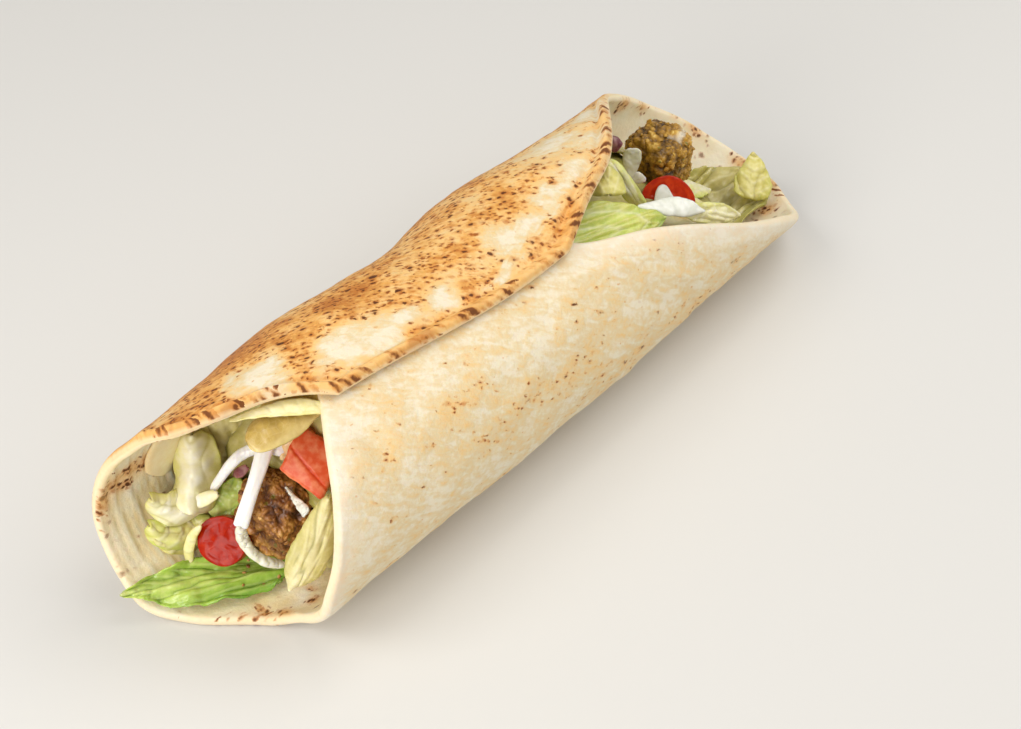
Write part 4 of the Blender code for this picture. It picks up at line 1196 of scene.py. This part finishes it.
def scatterTree(name, material):
    tree = bpy.data.node_groups.new(name, "GeometryNodeTree")
    tree.interface.new_socket("Surface", in_out="INPUT", socket_type="NodeSocketGeometry")
    for label in scatterInputs:
        kind = "NodeSocketInt" if label == "Seed" else "NodeSocketFloat"
        tree.interface.new_socket(label, in_out="INPUT", socket_type=kind)
    tree.interface.new_socket("Pieces", in_out="OUTPUT", socket_type="NodeSocketGeometry")
    given = tree.nodes.new("NodeGroupInput").outputs
    chance = addNode(tree, "GeometryNodeInputNamedAttribute", {"Name": "chance"}, data_type="FLOAT")
    points = addNode(tree, "GeometryNodeDistributePointsOnFaces", {
        "Mesh": given["Surface"], "Distance Min": given["Distance"], "Density Max": given["Per Square Metre"],
        "Density Factor": chance, "Seed": given["Seed"]}, distribute_method="POISSON")
    shade = addNode(tree, "FunctionNodeRandomValue", {2: 0.35, 3: 0.85, "Seed": 11}, 1)
    marked = addNode(tree, "GeometryNodeStoreNamedAttribute", {
        "Geometry": points, "Name": "level", "Value": shade}, data_type="FLOAT", domain="POINT")
    ball = addNode(tree, "GeometryNodeMeshIcoSphere", {"Radius": 1.0, "Subdivisions": 2})
    place = addNode(tree, "GeometryNodeInputPosition")
    lumpy = addNode(tree, "ShaderNodeTexNoise", {"Vector": place, "Scale": 1.3, "Detail": 1.0})
    for operation, value in (("SUBTRACT", 0.5), ("MULTIPLY", given["Rugged"]), ("MULTIPLY", 3.0)):
        lumpy = addNode(tree, "ShaderNodeMath", {0: lumpy, 1: value}, operation=operation)
    shift = addNode(tree, "ShaderNodeVectorMath", {0: place, "Scale": lumpy}, operation="SCALE")
    lump = addNode(tree, "GeometryNodeSetPosition", {"Geometry": ball, "Offset": shift})
    spin = addNode(tree, "FunctionNodeRandomValue", {
        "Max": (0.5, 0.5, 6.28), "Seed": 7}, data_type="FLOAT_VECTOR")
    turned = addNode(tree, "FunctionNodeRotateRotation", {
        "Rotation": points.node.outputs["Rotation"], "Rotate By": spin}, rotation_space="LOCAL")
    size = addNode(tree, "FunctionNodeRandomValue", {2: given["Least"], 3: given["Most"], "Seed": 5}, 1)
    short, long = (addNode(tree, "ShaderNodeMath", {0: size, 1: share}, operation="MULTIPLY")
                   for share in (given["Flat"], 1.35))
    scale = addNode(tree, "ShaderNodeCombineXYZ", {0: long, 1: size, 2: short})
    many = addNode(tree, "GeometryNodeInstanceOnPoints", {
        "Points": marked, "Instance": lump, "Rotation": turned, "Scale": scale})
    real = addNode(tree, "GeometryNodeRealizeInstances", {"Geometry": many})
    smooth = addNode(tree, "GeometryNodeSetShadeSmooth", {"Geometry": real})
    done = addNode(tree, "GeometryNodeSetMaterial", {"Geometry": smooth, "Material": material})
    tree.links.new(done, tree.nodes.new("NodeGroupOutput").inputs[0])
    return tree


def scatter(name, settings, material, slot):
    mesh = bpy.data.objects[settings["over"]].data.copy()
    count = len(mesh.vertices)
    chance = np.empty(count, np.float32)
    if "reach" in settings:                    # loose crumbs lie where the surface faces up, near a place
        places = np.empty(count * 3, np.float32)
        mesh.vertices.foreach_get("co", places)
        away = np.linalg.norm(places.reshape(-1, 3) - settings["centre"], axis=-1)
        upward = np.array([vertex.normal.z for vertex in mesh.vertices])
        chance = bell(away / settings["reach"]) ** 2 * ease((upward - 0.05) / 0.3)
    else:                                      # lumps stand where the crust is high
        mesh.attributes["level"].data.foreach_get("value", chance)
    chance = np.clip(chance, 0, 1)
    mesh.attributes.new("chance", "FLOAT", "POINT").data.foreach_set("value", chance.astype(np.float32))
    carrier = addPiece(name + "Carrier", mesh)
    tree = scatterTree(name, material)
    sockets = {item.name: item.identifier for item in tree.interface.items_tree if item.in_out == "INPUT"}
    nodes = carrier.modifiers.new(name, "NODES")
    nodes.node_group = tree
    for label, key in scatterInputs.items():
        nodes[sockets[label]] = settings[key]
    graph = bpy.context.evaluated_depsgraph_get()
    made = bpy.data.meshes.new_from_object(
        carrier.evaluated_get(graph), preserve_all_data_layers=True, depsgraph=graph)
    carrier.modifiers.remove(nodes)
    bpy.data.objects.remove(carrier)
    made.name = name
    return settle(addPiece(name, made), slot)


for name, settings in scatters.items():
    finish = "friedCrust" if name.endswith("Near") else "oilyCrust"
    scatter(name, settings, crustMaterials[finish], "falafel")


# Floor, light and camera

studio = {
    "floor": "#d9d8d5", "world": 0.40,
    # Place, size, watts and colour of each lamp. All look at the middle of the wrap.
    "lamps": {"key": ((-0.72, 0.22, 0.85), 0.55, 4.6, (1.0, 0.97, 0.92)),
              "top": ((0.38, -0.15, 1.00), 0.60, 3.4, (1.0, 0.98, 0.95)),
              "scoop": ((0.58, -0.50, 0.66), 0.50, 2.0, (1.0, 0.98, 0.95)),
              "fill": ((0.30, -0.90, 0.60), 0.80, 0.2, (1.0, 0.98, 0.96)),
              "mouth": ((-0.88, -0.20, 0.42), 0.45, 4.3, (1.0, 0.97, 0.93))},
}


def makeStage():
    material, _, _ = newMaterial("paleFloor", {"Base Color": linearColour(studio["floor"]), "Roughness": 0.7})
    size = 3.0
    corners = [(-size, -size, 0), (size, -size, 0), (size, size, 0), (-size, size, 0)]
    addPiece("floor", newMesh("floor", corners, [(0, 1, 2, 3)], material))
    world = bpy.data.worlds.new("studio")
    world.use_nodes = True
    world.node_tree.nodes["Background"].inputs["Color"].default_value = (1.0, 0.98, 0.95, 1.0)
    world.node_tree.nodes["Background"].inputs["Strength"].default_value = studio["world"]
    bpy.context.scene.world = world
    for name, (place, size, watts, colour) in studio["lamps"].items():
        light = bpy.data.lights.new(name, "AREA")
        light.energy, light.size, light.color = watts, size, colour
        lamp = bpy.data.objects.new(name, light)
        lamp.location = place
        lamp.rotation_euler = (Vector((0, 0, 0.03)) - Vector(place)).to_track_quat("-Z", "Y").to_euler()
        bpy.context.scene.collection.objects.link(lamp)


# The viewing angle of the photograph, in degrees from -Y and above the ground
camera = {"azimuth": -47.0, "elevation": 47.0, "roll": -1.0, "distance": 0.54,
          "aim": (0.0048, -0.0116, 0.029), "lens": 60.0}


def makeCamera():
    az, el, tilt = (math.radians(camera[key]) for key in ("azimuth", "elevation", "roll"))
    back = Vector((math.sin(az) * math.cos(el), -math.cos(az) * math.cos(el), math.sin(el)))
    right = Vector((math.cos(az), math.sin(az), 0))
    up = back.cross(right)
    right, up = math.cos(tilt) * right + math.sin(tilt) * up, math.cos(tilt) * up - math.sin(tilt) * right
    data = bpy.data.cameras.new("camera")
    data.lens, data.sensor_width = camera["lens"], 36.0
    data.clip_start, data.clip_end = 0.02, 10.0
    eye = bpy.data.objects.new("camera", data)
    turn = Matrix((right, up, back)).transposed().to_4x4()
    eye.matrix_world = Matrix.Translation(Vector(camera["aim"]) + back * camera["distance"]) @ turn
    bpy.context.scene.collection.objects.link(eye)
    bpy.context.scene.camera = eye


makeStage()
makeCamera()
bpy.context.scene.view_settings.view_transform = "Standard"
print("stage and camera set")
